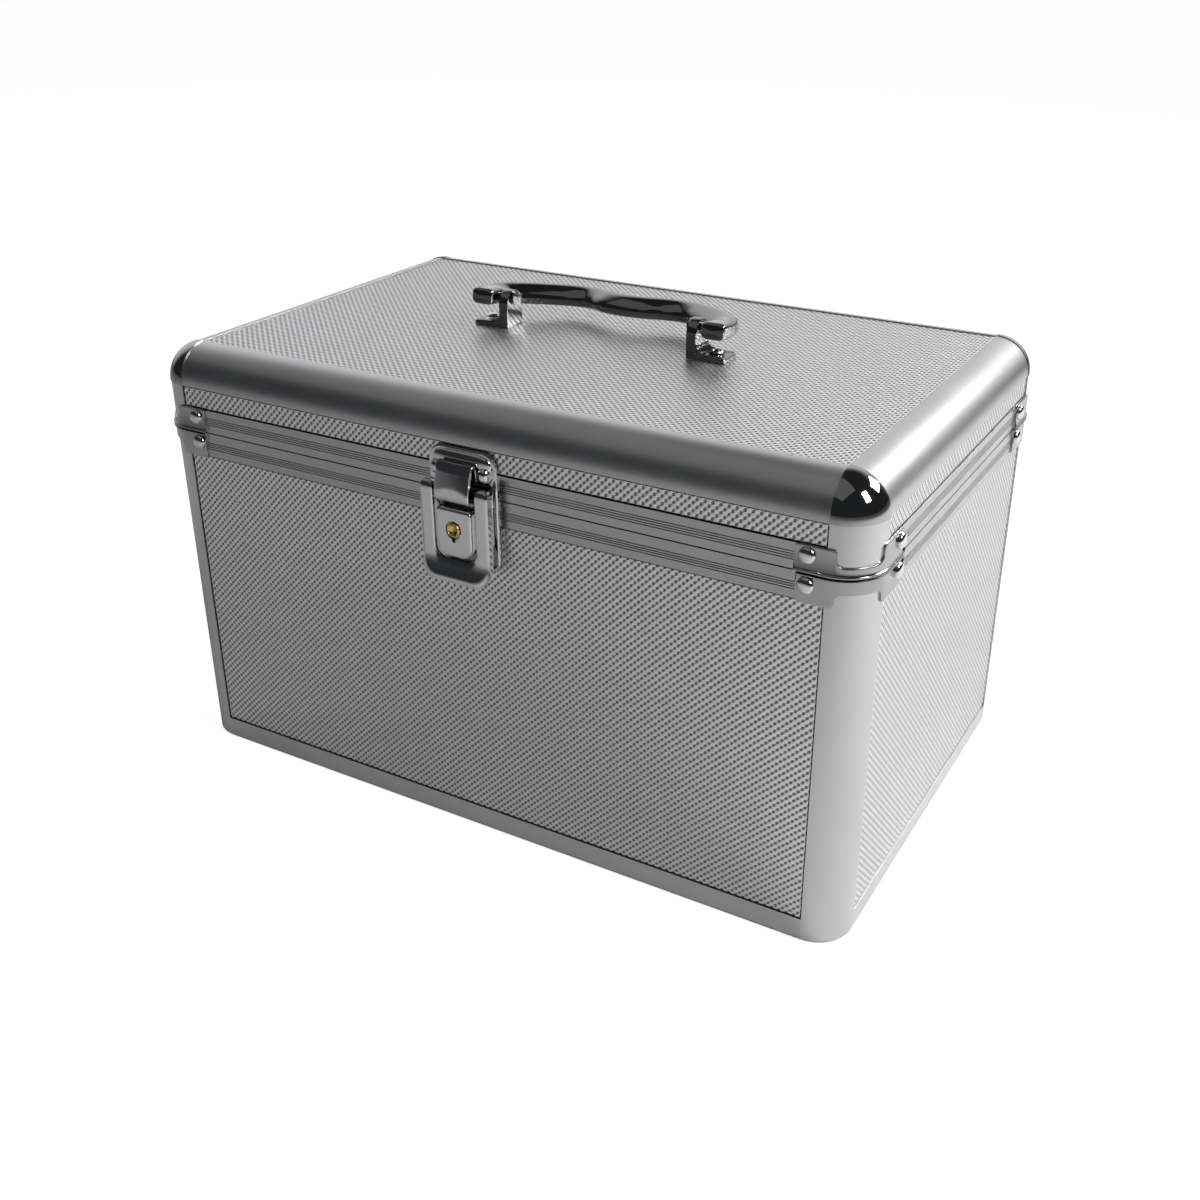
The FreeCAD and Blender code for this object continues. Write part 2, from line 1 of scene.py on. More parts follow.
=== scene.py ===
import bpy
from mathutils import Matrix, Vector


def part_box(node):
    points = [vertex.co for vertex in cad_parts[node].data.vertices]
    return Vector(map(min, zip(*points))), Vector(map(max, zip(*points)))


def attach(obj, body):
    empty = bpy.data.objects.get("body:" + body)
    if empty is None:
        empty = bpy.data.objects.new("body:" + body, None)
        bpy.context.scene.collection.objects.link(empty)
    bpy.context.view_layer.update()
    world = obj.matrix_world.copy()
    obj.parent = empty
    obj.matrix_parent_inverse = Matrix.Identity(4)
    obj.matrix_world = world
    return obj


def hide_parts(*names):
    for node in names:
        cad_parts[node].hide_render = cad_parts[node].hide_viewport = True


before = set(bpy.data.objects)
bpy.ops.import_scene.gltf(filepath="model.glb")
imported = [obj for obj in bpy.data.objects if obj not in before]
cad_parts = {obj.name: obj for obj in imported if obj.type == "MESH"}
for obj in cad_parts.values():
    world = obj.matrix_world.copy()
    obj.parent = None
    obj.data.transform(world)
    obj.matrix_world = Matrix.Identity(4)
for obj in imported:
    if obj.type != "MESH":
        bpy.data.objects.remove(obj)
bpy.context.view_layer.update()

import logging
import math
from collections.abc import Callable, Sequence
from dataclasses import dataclass, field
from enum import Enum

import bpy
import numpy as np
from mathutils import Matrix, Vector

# Visible pieces of an aluminium sewing case with two cantilever trays.
# Lengths inside the classes are millimetres; a mesh is written in metres.
# In the latch, points are (across, height, outwards q from the case's front face).

Array = np.ndarray
log = logging.getLogger("sewing_case")

MM = 0.001
CREASE_ANGLE = math.radians(38.0)
BAR_SHARE = 0.60                # weight of one diagonal's wave in the pit lattice; the other has the rest


# ---------------------------------------------------------------- mesh making
class Shell:
    """One mesh that grows out of grids of points."""

    def __init__(self) -> None:
        """Start with no points and no faces."""
        self.points: list[Array] = []
        self.marks: list[Array] = []
        self.faces: list[Array] = []
        self.face_uv: list[Array] = []
        self.count = 0

    def _add_points(self, xyz: Array, gap_shade: Array | None) -> Array:
        """Store points and give back their numbers.

        Args:
            xyz: points of any grid shape, last axis x, y, z.
            gap_shade: one number for each point, or None for zeros.

        Returns:
            The numbers of the points, in the grid's shape.
        """
        flat = xyz.reshape(-1, 3)
        index = np.arange(len(flat)).reshape(xyz.shape[:-1]) + self.count
        self.points.append(flat)
        self.marks.append(np.zeros(len(flat)) if gap_shade is None else np.asarray(gap_shade, float).ravel())
        self.count += len(flat)
        return index

    def grid(self, xyz: Array, wrap: bool = False, flip: bool = False,
             uv: Array | None = None, gap_shade: Array | None = None) -> Array:
        """Add a grid of quads; a face looks along (column direction) x (row direction).

        Args:
            xyz: rows x columns x 3 points.
            wrap: join the last column to the first.
            flip: turn the faces round.
            uv: pattern coordinates, one column more than xyz when wrapped.
            gap_shade: one number for each point, kept as the attribute "mark"; the embossed sheets paint the
                shadow of their gap with it.

        Returns:
            The point numbers as rows x columns.
        """
        index = self._add_points(xyz, gap_shade)
        wide = np.hstack([index, index[:, :1]]) if wrap else index
        quads = self._quads(wide)
        if uv is None:
            quad_uv = np.zeros(quads.shape + (2,))
        else:
            quad_uv = uv.reshape(-1, 2)[self._quads(np.arange(wide.size).reshape(wide.shape))]
        self.faces.append(quads[:, ::-1] if flip else quads)
        self.face_uv.append(quad_uv[:, ::-1] if flip else quad_uv)
        return index

    @staticmethod
    def _quads(index: Array) -> Array:
        """Corner numbers of every cell of a grid of point numbers."""
        cells = [index[:-1, :-1], index[:-1, 1:], index[1:, 1:], index[1:, :-1]]
        return np.stack(cells, -1).reshape(-1, 4)

    def bridge(self, first: Array, second: Array, flip: bool = False) -> None:
        """Join two equally long rows of point numbers with quads.

        Args:
            first: one row.
            second: the other row.
            flip: turn the faces round.
        """
        quads = self._quads(np.stack([first, second]))
        self.faces.append(quads[:, ::-1] if flip else quads)
        self.face_uv.append(np.zeros(quads.shape + (2,)))

    def cap(self, ring: Array, centre: Array | None = None, flip: bool = False) -> None:
        """Close a ring of point numbers with a fan of triangles about its centre.

        Args:
            ring: point numbers in order, looking against the wanted face direction.
            centre: the fan's point, or None for the mean of the ring.
            flip: turn the faces round.
        """
        every = np.concatenate(self.points)
        middle = every[ring].mean(0) if centre is None else centre
        tip = int(self._add_points(np.asarray(middle, float).reshape(1, 3), None)[0])
        fan = np.stack([ring, np.roll(ring, -1), np.full(len(ring), tip)], -1)
        self.faces.append(fan[:, ::-1] if flip else fan)
        self.face_uv.append(np.zeros(fan.shape + (2,)))

    def mirrored(self, axes: Sequence[int]) -> "Shell":
        """A copy mirrored through the planes of the given axes, faces still outwards."""
        twin = Shell()
        sign = np.ones(3)
        sign[list(axes)] = -1.0
        twin.points = [p * sign for p in self.points]
        twin.marks = list(self.marks)
        odd = len(axes) % 2 == 1
        twin.faces = [f[:, ::-1] if odd else f for f in self.faces]
        twin.face_uv = [u[:, ::-1] if odd else u for u in self.face_uv]
        twin.count = self.count
        return twin

    def join(self, other: "Shell") -> None:
        """Add all of another shell's points and faces."""
        self.points += other.points
        self.marks += other.marks
        self.faces += [f + self.count for f in other.faces]
        self.face_uv += other.face_uv
        self.count += other.count

    def piece(self, name: str) -> bpy.types.Object:
        """Write the mesh in metres and give back its object; edges sharper than CREASE_ANGLE stay sharp.

        Args:
            name: name of the piece.

        Returns:
            The new object, at the origin.
        """
        mesh = bpy.data.meshes.new(name)
        points = np.concatenate(self.points) * MM
        sizes = np.concatenate([np.full(len(f), f.shape[1]) for f in self.faces])
        corners = np.concatenate([f.ravel() for f in self.faces])
        uv = np.concatenate([u.reshape(-1, 2) for u in self.face_uv])
        mesh.vertices.add(len(points))
        mesh.vertices.foreach_set("co", points.astype(np.float32).ravel())
        mesh.loops.add(len(corners))
        mesh.loops.foreach_set("vertex_index", corners.astype(np.int32))
        mesh.polygons.add(len(sizes))
        starts = np.concatenate([[0], np.cumsum(sizes)[:-1]])
        mesh.polygons.foreach_set("loop_start", starts.astype(np.int32))
        mesh.update(calc_edges=True)
        layer = mesh.uv_layers.new(name="Pattern")
        layer.data.foreach_set("uv", uv.astype(np.float32).ravel())
        marks = mesh.attributes.new("gap_shade", "FLOAT", "POINT")
        marks.data.foreach_set("value", np.concatenate(self.marks).astype(np.float32))
        mesh.validate()
        mesh.shade_smooth()
        mesh.set_sharp_from_angle(angle=CREASE_ANGLE)
        thing = bpy.data.objects.new(name, mesh)
        bpy.context.scene.collection.objects.link(thing)
        return thing


def rounded_outline(half_x: float, half_y: float, radii: Sequence[float], per_corner: int = 10,
                    step: float = 0.0) -> Array:
    """Rectangle with round corners, anticlockwise from the middle of the right side's corner.

    Each corner is a quarter circle of its own radius; a straight side is divided evenly.

    Args:
        half_x: half the width.
        half_y: half the height.
        radii: corner radii in the order right-top, left-top, left-bottom, right-bottom.
        per_corner: cells of each corner arc.
        step: longest cell of a straight side, 0 for one cell.

    Returns:
        n x 2 points.
    """
    arcs = []
    for turn, (sx, sy) in enumerate(((1, 1), (-1, 1), (-1, -1), (1, -1))):
        r = radii[turn]
        angle = (turn + np.linspace(0.0, 1.0, per_corner + 1)) * math.pi / 2.0
        arcs.append(np.stack([sx * (half_x - r) + r * np.cos(angle),
                              sy * (half_y - r) + r * np.sin(angle)], -1))
    out = []
    for turn, arc in enumerate(arcs):
        out.append(arc)
        after = arcs[(turn + 1) % 4][0]
        length = (2.0 * half_y if turn % 2 else 2.0 * half_x)
        cells = max(1, math.ceil(length / step)) if step else 1
        t = np.linspace(0.0, 1.0, cells + 1)[1:-1, None]
        out.append(arc[-1] + t * (after - arc[-1]))
    return np.concatenate(out)


def smooth(edge0: float, edge1: float, x: Array) -> Array:
    """Smooth step: 3t^2 - 2t^3 of x scaled from edge0..edge1 to 0..1."""
    t = np.clip((x - edge0) / (edge1 - edge0), 0.0, 1.0)
    return t * t * (3.0 - 2.0 * t)


# ------------------------------------------------------------------- finishes
class Graph:
    """Adds nodes to one material and joins them."""

    def __init__(self, name: str) -> None:
        """Make an empty material of that name."""
        self.material = bpy.data.materials.new(name)
        self.material.use_nodes = True
        self.tree = self.material.node_tree
        self.tree.nodes.clear()

    def node(self, kind: str, inputs: dict[str | int, object] | None = None,
             **settings: object) -> bpy.types.Node:
        """Add a node.

        Args:
            kind: node type without the leading "ShaderNode".
            inputs: socket name or number to a value, or to an output socket to link.
            settings: attributes of the node.

        Returns:
            The node.
        """
        made = self.tree.nodes.new("ShaderNode" + kind)
        for key, value in settings.items():
            setattr(made, key, value)
        for key, value in (inputs or {}).items():
            if isinstance(value, bpy.types.NodeSocket):
                self.tree.links.new(value, made.inputs[key])
            else:
                made.inputs[key].default_value = value
        return made

    def math(self, operation: str, a: object, b: object = 0.0, clamp: bool = False) -> bpy.types.NodeSocket:
        """Result socket of a Math node on two values or sockets."""
        return self.node("Math", {0: a, 1: b}, operation=operation, use_clamp=clamp).outputs[0]

    def stretched(self, scale: tuple[float, float, float], detail: float = 3.0) -> bpy.types.NodeSocket:
        """Noise on Object coordinates that are multiplied by a scale for each axis."""
        place = self.node("TexCoord").outputs["Object"]
        moved = self.node("Mapping", {"Vector": place, "Scale": scale}).outputs[0]
        noise = self.node("TexNoise", {"Vector": moved, "Scale": 1.0, "Detail": detail})
        return noise.outputs["Fac"]

    def ramp(self, fac: bpy.types.NodeSocket, low: float, high: float) -> bpy.types.NodeSocket:
        """Map 0..1 to low..high."""
        done = self.node("MapRange", {"Value": fac, "To Min": low, "To Max": high})
        return done.outputs["Result"]

    def blend(self, fac: object, a: tuple[float, ...], b: tuple[float, ...]) -> bpy.types.NodeSocket:
        """Colour between a and b."""
        mix = self.node("Mix", data_type="RGBA")
        for key, value in ((0, fac), (6, a), (7, b)):
            if isinstance(value, bpy.types.NodeSocket):
                self.tree.links.new(value, mix.inputs[key])
            else:
                mix.inputs[key].default_value = value
        return mix.outputs[2]

    def surface(self, inputs: dict[str, object]) -> bpy.types.Material:
        """Finish the material with a Principled shader."""
        shader = self.node("BsdfPrincipled", inputs)
        output = self.node("OutputMaterial")
        self.tree.links.new(shader.outputs[0], output.inputs["Surface"])
        return self.material


def grey(value: float, warm: float = 0.0) -> tuple[float, float, float, float]:
    """Opaque grey, warmer for a positive second value."""
    return (value * (1.0 + warm), value, value * (1.0 - warm), 1.0)


class Along(Enum):
    """Direction in which a bar was drawn, so its fine lines run that way."""

    X = (24.0, 2600.0, 2600.0)
    Y = (2600.0, 24.0, 2600.0)
    Z = (2600.0, 2600.0, 24.0)


@dataclass(frozen=True)
class DrawnAluminium:
    """Satin anodised extrusion: fine die lines along the bar, faint handling marks."""

    name: str
    along: Along
    shade: float = 0.66
    roughness: float = 0.36

    def build(self) -> bpy.types.Material:
        """Make the material."""
        g = Graph(self.name)
        lines = g.stretched(self.along.value, 2.0)
        marks = g.stretched((38.0, 38.0, 38.0), 6.0)
        colour = g.blend(marks, grey(self.shade * 0.94), grey(self.shade * 1.05))
        rough = g.math("ADD", g.ramp(marks, self.roughness - 0.05, self.roughness + 0.05),
                       g.ramp(lines, -0.05, 0.05))
        bump = g.node("Bump", {"Height": lines, "Strength": 0.10, "Distance": 0.00003})
        return g.surface({"Base Color": colour, "Metallic": 1.0, "Roughness": rough,
                          "Normal": bump.outputs[0]})


@dataclass(frozen=True)
class EmbossedSheet:
    """Rolled sheet with round pits on a diagonal lattice; the pits get painted shade, a darker base colour,
    and a strip along the edge gets the painted shadow of the gap by the extrusions.
    """

    name: str
    ridge: float = 0.90
    # pit: base colour in the pits, painted shade darker than the ridges
    pit: float = 0.30
    # border: base colour of the strip along the sheet's edge, painted shadow of the gap by the extrusions
    border: float = 0.035
    roughness: float = 0.36

    def build(self) -> bpy.types.Material:
        """Make the material; u and v of the pattern count whole repeats."""
        g = Graph(self.name)
        uv = g.node("SeparateXYZ", {0: g.node("UVMap", uv_map="Pattern").outputs[0]})
        turns = [g.math("MULTIPLY", g.math(way, uv.outputs[0], uv.outputs[1]), 2.0 * math.pi)
                 for way in ("SUBTRACT", "ADD")]
        waves = [g.math("COSINE", turn) for turn in turns]
        lattice = g.math("ADD", g.math("MULTIPLY", waves[0], BAR_SHARE),
                         g.math("MULTIPLY", waves[1], 1.0 - BAR_SHARE))
        gap_shade = g.node("Attribute", attribute_name="gap_shade").outputs["Fac"]
        wobble = g.stretched((900.0, 900.0, 900.0), 2.0)
        shaded = g.math("ADD", lattice, g.ramp(wobble, -0.22, 0.22))
        hole = g.node("MapRange", {"Value": shaded, "From Min": -0.08, "From Max": 0.66},
                      interpolation_type="SMOOTHSTEP").outputs["Result"]
        cloud = g.stretched((9.0, 9.0, 9.0), 4.0)
        top = g.blend(cloud, grey(self.ridge * 0.93), grey(self.ridge * 1.04))
        # painted shade: inside the pits the colour goes from the ridges' grey to the dark pit grey
        colour = g.blend(hole, top, grey(self.pit))
        # painted shadow: along the edge by the extrusions the colour goes to the dark border grey
        gap_shadowed = g.blend(gap_shade, colour, grey(self.border))
        rough = g.math("ADD", g.ramp(hole, self.roughness, self.roughness + 0.22),
                       g.ramp(cloud, -0.04, 0.04))
        height = g.math("SUBTRACT", 1.0, hole)
        bump = g.node("Bump", {"Height": height, "Strength": 0.55, "Distance": 0.00022})
        return g.surface({"Base Color": gap_shadowed, "Metallic": 1.0, "Roughness": rough,
                          "Normal": bump.outputs[0]})


@dataclass(frozen=True)
class PlatedMetal:
    """Polished or satin plating over a pressed or cast part, with hair scratches and a soft haze."""

    name: str
    shade: float
    roughness: float
    warm: float = 0.0
    scratch: float = 0.03

    def build(self) -> bpy.types.Material:
        """Make the material."""
        g = Graph(self.name)
        haze = g.stretched((60.0, 60.0, 60.0), 5.0)
        hair = g.stretched((1500.0, 130.0, 700.0), 3.0)
        colour = g.blend(haze, grey(self.shade * 0.95, self.warm), grey(self.shade * 1.04, self.warm))
        rough = g.math("ADD", g.ramp(haze, self.roughness * 0.75, self.roughness * 1.3),
                       g.ramp(hair, -0.012, 0.02))
        bump = g.node("Bump", {"Height": hair, "Strength": self.scratch, "Distance": 0.00002})
        return g.surface({"Base Color": colour, "Metallic": 1.0, "Roughness": rough,
                          "Normal": bump.outputs[0]})


@dataclass(frozen=True)
class LinerCloth:
    """Close plain-weave cloth over foam: threads cross over and under on the pattern map."""

    name: str
    thread: tuple[float, float, float, float] = (0.150, 0.152, 0.160, 1.0)
    gap: tuple[float, float, float, float] = (0.040, 0.040, 0.045, 1.0)

    def build(self) -> bpy.types.Material:
        """Make the material; u and v of the pattern count millimetres."""
        g = Graph(self.name)
        uv = g.node("SeparateXYZ", {0: g.node("UVMap", uv_map="Pattern").outputs[0]})
        across = g.math("SINE", g.math("MULTIPLY", uv.outputs[0], math.pi / 0.55))
        along = g.math("SINE", g.math("MULTIPLY", uv.outputs[1], math.pi / 0.55))
        weave = g.math("ABSOLUTE", g.math("MULTIPLY", across, along))
        fuzz = g.stretched((700.0, 700.0, 700.0), 4.0)
        wear = g.stretched((16.0, 16.0, 16.0), 4.0)
        colour = g.blend(weave, self.gap, self.thread)
        lifted = g.blend(g.ramp(wear, 0.0, 0.35), colour, grey(0.20))
        height = g.math("ADD", weave, g.ramp(fuzz, -0.25, 0.25))
        bump = g.node("Bump", {"Height": height, "Strength": 0.5, "Distance": 0.00012})
        return g.surface({"Base Color": lifted, "Roughness": g.ramp(fuzz, 0.78, 0.96),
                          "Sheen Weight": 0.35, "Sheen Roughness": 0.45, "Normal": bump.outputs[0]})


@dataclass(frozen=True)
class MouldedPlastic:
    """Matt moulded plastic with a fine spark texture and a little scuffing."""

    name: str
    shade: float = 0.075
    roughness: float = 0.44

    def build(self) -> bpy.types.Material:
        """Make the material."""
        g = Graph(self.name)
        spark = g.stretched((1400.0, 1400.0, 1400.0), 2.0)
        scuff = g.stretched((22.0, 70.0, 40.0), 6.0)
        colour = g.blend(scuff, grey(self.shade * 0.8), grey(self.shade * 1.5))
        rough = g.math("ADD", g.ramp(scuff, self.roughness - 0.07, self.roughness + 0.09),
                       g.ramp(spark, -0.04, 0.04))
        bump = g.node("Bump", {"Height": spark, "Strength": 0.30, "Distance": 0.00005})
        return g.surface({"Base Color": colour, "Roughness": rough, "Specular IOR Level": 0.45,
                          "Normal": bump.outputs[0]})


@dataclass(frozen=True)
class FibreBoard:
    """Painted fibre board under the case."""

    name: str

    def build(self) -> bpy.types.Material:
        """Make the material."""
        g = Graph(self.name)
        fibre = g.stretched((420.0, 900.0, 420.0), 5.0)
        blotch = g.stretched((14.0, 14.0, 14.0), 4.0)
        colour = g.blend(fibre, (0.030, 0.030, 0.032, 1.0), (0.070, 0.068, 0.064, 1.0))
        bump = g.node("Bump", {"Height": fibre, "Strength": 0.35, "Distance": 0.0001})
        return g.surface({"Base Color": colour, "Roughness": g.ramp(blotch, 0.62, 0.84),
                          "Normal": bump.outputs[0]})


class Finish(Enum):
    """Every finish on the case."""

    # painted light and shade: the extrusions and rims are one aluminium in copies of different shade; the
    # side edges are darker than the front and back edges, the rims darker still and the front and back rims
    # darkest, standing in for the light and shade on each
    RAIL_X = DrawnAluminium("drawn_aluminium_lengthwise", Along.X)
    RAIL_Y = DrawnAluminium("drawn_aluminium_crosswise", Along.Y, 0.60)
    RIM_X = DrawnAluminium("rim_aluminium_lengthwise", Along.X, 0.46, 0.28)
    RIM_Y = DrawnAluminium("rim_aluminium_crosswise", Along.Y, 0.54, 0.28)
    POST = DrawnAluminium("drawn_aluminium_upright", Along.Z)
    SHEET = EmbossedSheet("embossed_sheet")
    # painted shade: CHROME, LATCH, CORNER_CHROME and RIVET_CHROME are one chrome plating in copies of
    # different shade; the copies on the handle, its brackets and pins and on the ball corners are darkened
    # for the dark room that they reflect
    CHROME = PlatedMetal("chrome_painted_dark", 0.30, 0.07)
    LATCH = PlatedMetal("latch_chrome", 0.66, 0.10)
    CORNER_CHROME = PlatedMetal("corner_chrome", 0.42, 0.05)
    RIVET_CHROME = PlatedMetal("rivet_chrome", 0.74, 0.07, 0.02)
    NICKEL = PlatedMetal("satin_nickel", 0.42, 0.15, 0.01)
    ZINC = PlatedMetal("zinc_plate", 0.56, 0.34, 0.02, 0.08)
    CLOTH = LinerCloth("liner_cloth")
    PLASTIC = MouldedPlastic("tray_plastic")
    BOARD = FibreBoard("base_board")

    def material(self) -> bpy.types.Material:
        """The finish's material, made the first time it is asked for."""
        return bpy.data.materials.get(self.value.name) or self.value.build()


@dataclass(frozen=True)
class BrassPlug:
    """Turned brass with lathe rings about the lock's axis."""

    name: str
    centre: tuple[float, float, float]

    def build(self) -> bpy.types.Material:
        """Make the material; rings follow the distance from the axis along y."""
        g = Graph(self.name)
        place = g.node("TexCoord").outputs["Object"]
        shift = tuple(-c for c in self.centre)
        local = g.node("SeparateXYZ", {0: g.node("Mapping", {"Vector": place, "Location": shift}).outputs[0]})
        squares = [g.math("POWER", local.outputs[i], 2.0) for i in (0, 2)]
        radius = g.math("SQRT", g.math("ADD", squares[0], squares[1]))
        rings = g.math("SINE", g.math("MULTIPLY", radius, 2.0 * math.pi / 0.00022))
        tarnish = g.stretched((350.0, 350.0, 350.0), 4.0)
        colour = g.blend(tarnish, (0.62, 0.42, 0.13, 1.0), (0.86, 0.68, 0.30, 1.0))
        bump = g.node("Bump", {"Height": rings, "Strength": 0.12, "Distance": 0.00002})
        return g.surface({"Base Color": colour, "Metallic": 1.0, "Roughness": g.ramp(tarnish, 0.16, 0.30),
                          "Normal": bump.outputs[0]})


def dress(thing: bpy.types.Object, finish: Finish | BrassPlug) -> None:
    """Give an object one finish in all of its material slots.

    Args:
        thing: a new piece or a CAD node's object.
        finish: the finish, or the brass of the lock.
    """
    material = finish.material() if isinstance(finish, Finish) else finish.build()
    if not thing.material_slots:
        thing.data.materials.append(material)
    for slot in thing.material_slots:
        slot.material = material


def settle(thing: bpy.types.Object, finish: Finish | BrassPlug, body: str, *nodes: str) -> bpy.types.Object:
    """Dress a new piece, ride it on its body and let it stand for CAD nodes.

    Args:
        thing: the new piece.
        finish: its finish.
        body: body that it moves with.
        nodes: CAD nodes that it replaces.

    Returns:
        The piece.
    """
    dress(thing, finish)
    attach(thing, body)
    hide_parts(*nodes)
    log.info("%s on %s: %d faces", thing.name, body, len(thing.data.polygons))
    return thing


# ---------------------------------------------------------------- case sizes
def low_high(node: str) -> tuple[Array, Array]:
    """Lowest and highest corner of a CAD node in millimetres."""
    low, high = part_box(node)
    return np.array(low) / MM, np.array(high) / MM


@dataclass(frozen=True)
class CaseSize:
    """Outer sizes of the case, read from its CAD nodes."""

    half_x: float
    half_y: float
    flat_x: float
    flat_y: float
    base_top: float
    lid_bottom: float

    @classmethod
    def measured(cls) -> "CaseSize":
        """Read the sizes from the frame."""
        outer, panel = low_high("base_sills")[1], low_high("lid_panel_top")[1]
        return cls(half_x=outer[0], half_y=outer[1], flat_x=panel[0], flat_y=panel[1],
                   base_top=low_high("base_brackets")[1][2], lid_bottom=low_high("lid_brackets")[0][2])

    @property
    def radius(self) -> float:
        """Radius of the quarter-round extrusions."""
        return self.half_x - self.flat_x


# -------------------------------------------------------------- embossed skin
class Side(Enum):
    """Way a panel looks: its right-hand direction, its up direction and its outward one."""

    FRONT = ((1, 0, 0), (0, 0, 1), (0, -1, 0))
    BACK = ((-1, 0, 0), (0, 0, 1), (0, 1, 0))
    RIGHT = ((0, 1, 0), (0, 0, 1), (1, 0, 0))
    LEFT = ((0, -1, 0), (0, 0, 1), (-1, 0, 0))
    TOP = ((1, 0, 0), (0, 1, 0), (0, 0, 1))


@dataclass
class EmbossedPanels:
    """Sheets between the extrusions, rolled with pits in a diagonal lattice."""

    size: CaseSize
    repeat: float = 2.82
    pit_depth: float = 0.30
    gap: float = 0.45
    gap_depth: float = 0.55
    thickness: float = 3.4

    def lines(self, low: float, high: float, middle: float) -> Array:
        """Grid lines of one direction: the lattice's quarter repeats, and four lines for the two gaps.

        Args:
            low: lower end of the sheet.
            high: upper end of the sheet.
            middle: where a pit is centred.

        Returns:
            Increasing positions.
        """
        step = self.repeat / 4.0
        inner_low, inner_high = low + 1.3 * self.gap, high - 1.3 * self.gap
        first = math.ceil((inner_low - middle) / step + 0.3)
        last = math.floor((inner_high - middle) / step - 0.3)
        return np.concatenate([[low, low + 0.8 * self.gap, inner_low],
                               middle + step * np.arange(first, last + 1),
                               [inner_high, high - 0.8 * self.gap, high]])

    def sheet(self, shell: Shell, side: Side, low: Array, high: Array) -> None:
        """Add one closed sheet.

        The outer face stands at the sheet's face less pit_depth * (1/2 + 1/2 w)^1.5, where w is a weighted
        mean of cos(2 pi (u - v)/p) and cos(2 pi (u + v)/p); it dips by gap_depth next to the extrusions.

        Args:
            shell: mesh to add to.
            side: the way the sheet looks.
            low: lowest corner of the sheet.
            high: highest corner of the sheet.
        """
        right, up, out = (np.array(v, float) for v in side.value)
        ends_u = sorted((float(low @ right), float(high @ right)))
        ends_v = sorted((float(low @ up), float(high @ up)))
        face = max(float(low @ out), float(high @ out))
        mid_u, mid_v = sum(ends_u) / 2.0, sum(ends_v) / 2.0
        u, v = np.meshgrid(self.lines(*ends_u, mid_u), self.lines(*ends_v, mid_v))
        a, b = (u - mid_u) / self.repeat, (v - mid_v) / self.repeat
        lattice = BAR_SHARE * np.cos(2 * np.pi * (a - b)) + (1.0 - BAR_SHARE) * np.cos(2 * np.pi * (a + b))
        inside = np.minimum.reduce([u - ends_u[0], ends_u[1] - u, v - ends_v[0], ends_v[1] - v])
        open_part = smooth(self.gap * 0.9, self.gap * 1.4, inside)
        height = face - self.pit_depth * (0.5 + 0.5 * lattice) ** 1.5 * open_part
        height = height - self.gap_depth * (1.0 - smooth(self.gap * 0.7, self.gap * 1.3, inside))
        xyz = u[..., None] * right + v[..., None] * up + height[..., None] * out
        uv = np.stack([a, b], -1)
        # painted shadow: 1 along the edge next to the extrusions, where the material paints the gap's shadow;
        # the hidden walls get 1 as well
        gap_shade = 1.0 - smooth(self.gap * 0.75, self.gap * 1.35, inside)
        index = shell.grid(xyz, uv=uv, gap_shade=gap_shade)
        border = np.concatenate([index[0, :-1], index[:-1, -1], index[-1, :0:-1], index[:0:-1, 0]])
        rim = np.concatenate(shell.points)[border]
        back = rim + np.outer(face - self.thickness - rim @ out, out)
        walls = shell.grid(np.stack([back, rim]), wrap=True, gap_shade=np.ones(2 * len(rim)))
        shell.cap(walls[0], flip=True)

    def build(self) -> None:
        """Make the panels and strips and put them on the case."""
        for side in (Side.FRONT, Side.BACK, Side.RIGHT, Side.LEFT):
            node = "base_panel_" + side.name.lower()
            shell = Shell()
            self.sheet(shell, side, *low_high(node))
            settle(shell.piece("embossed_" + side.name.lower()), Finish.SHEET, "base", node)
        shell = Shell()
        self.sheet(shell, Side.TOP, *low_high("lid_panel_top"))
        settle(shell.piece("embossed_top"), Finish.SHEET, "lid", "lid_panel_top")
        self.build_strips()

    def build_strips(self) -> None:
        """Narrow sheets round the lid, between its rim and its quarter-round edges."""
        low, high = low_high("lid_strips")
        shell = Shell()
        flat = np.array([self.size.flat_x, self.size.flat_y])
        for side in (Side.FRONT, Side.BACK, Side.RIGHT, Side.LEFT):
            out = np.array(side.value[2], float)[:2]
            face = np.where(out > 0, high[:2], low[:2])
            ends = np.where(out != 0, face, -flat), np.where(out != 0, face, flat)
            self.sheet(shell, side, np.array([*ends[0], low[2]]), np.array([*ends[1], high[2]]))
        settle(shell.piece("embossed_lid_strips"), Finish.SHEET, "lid", "lid_strips")


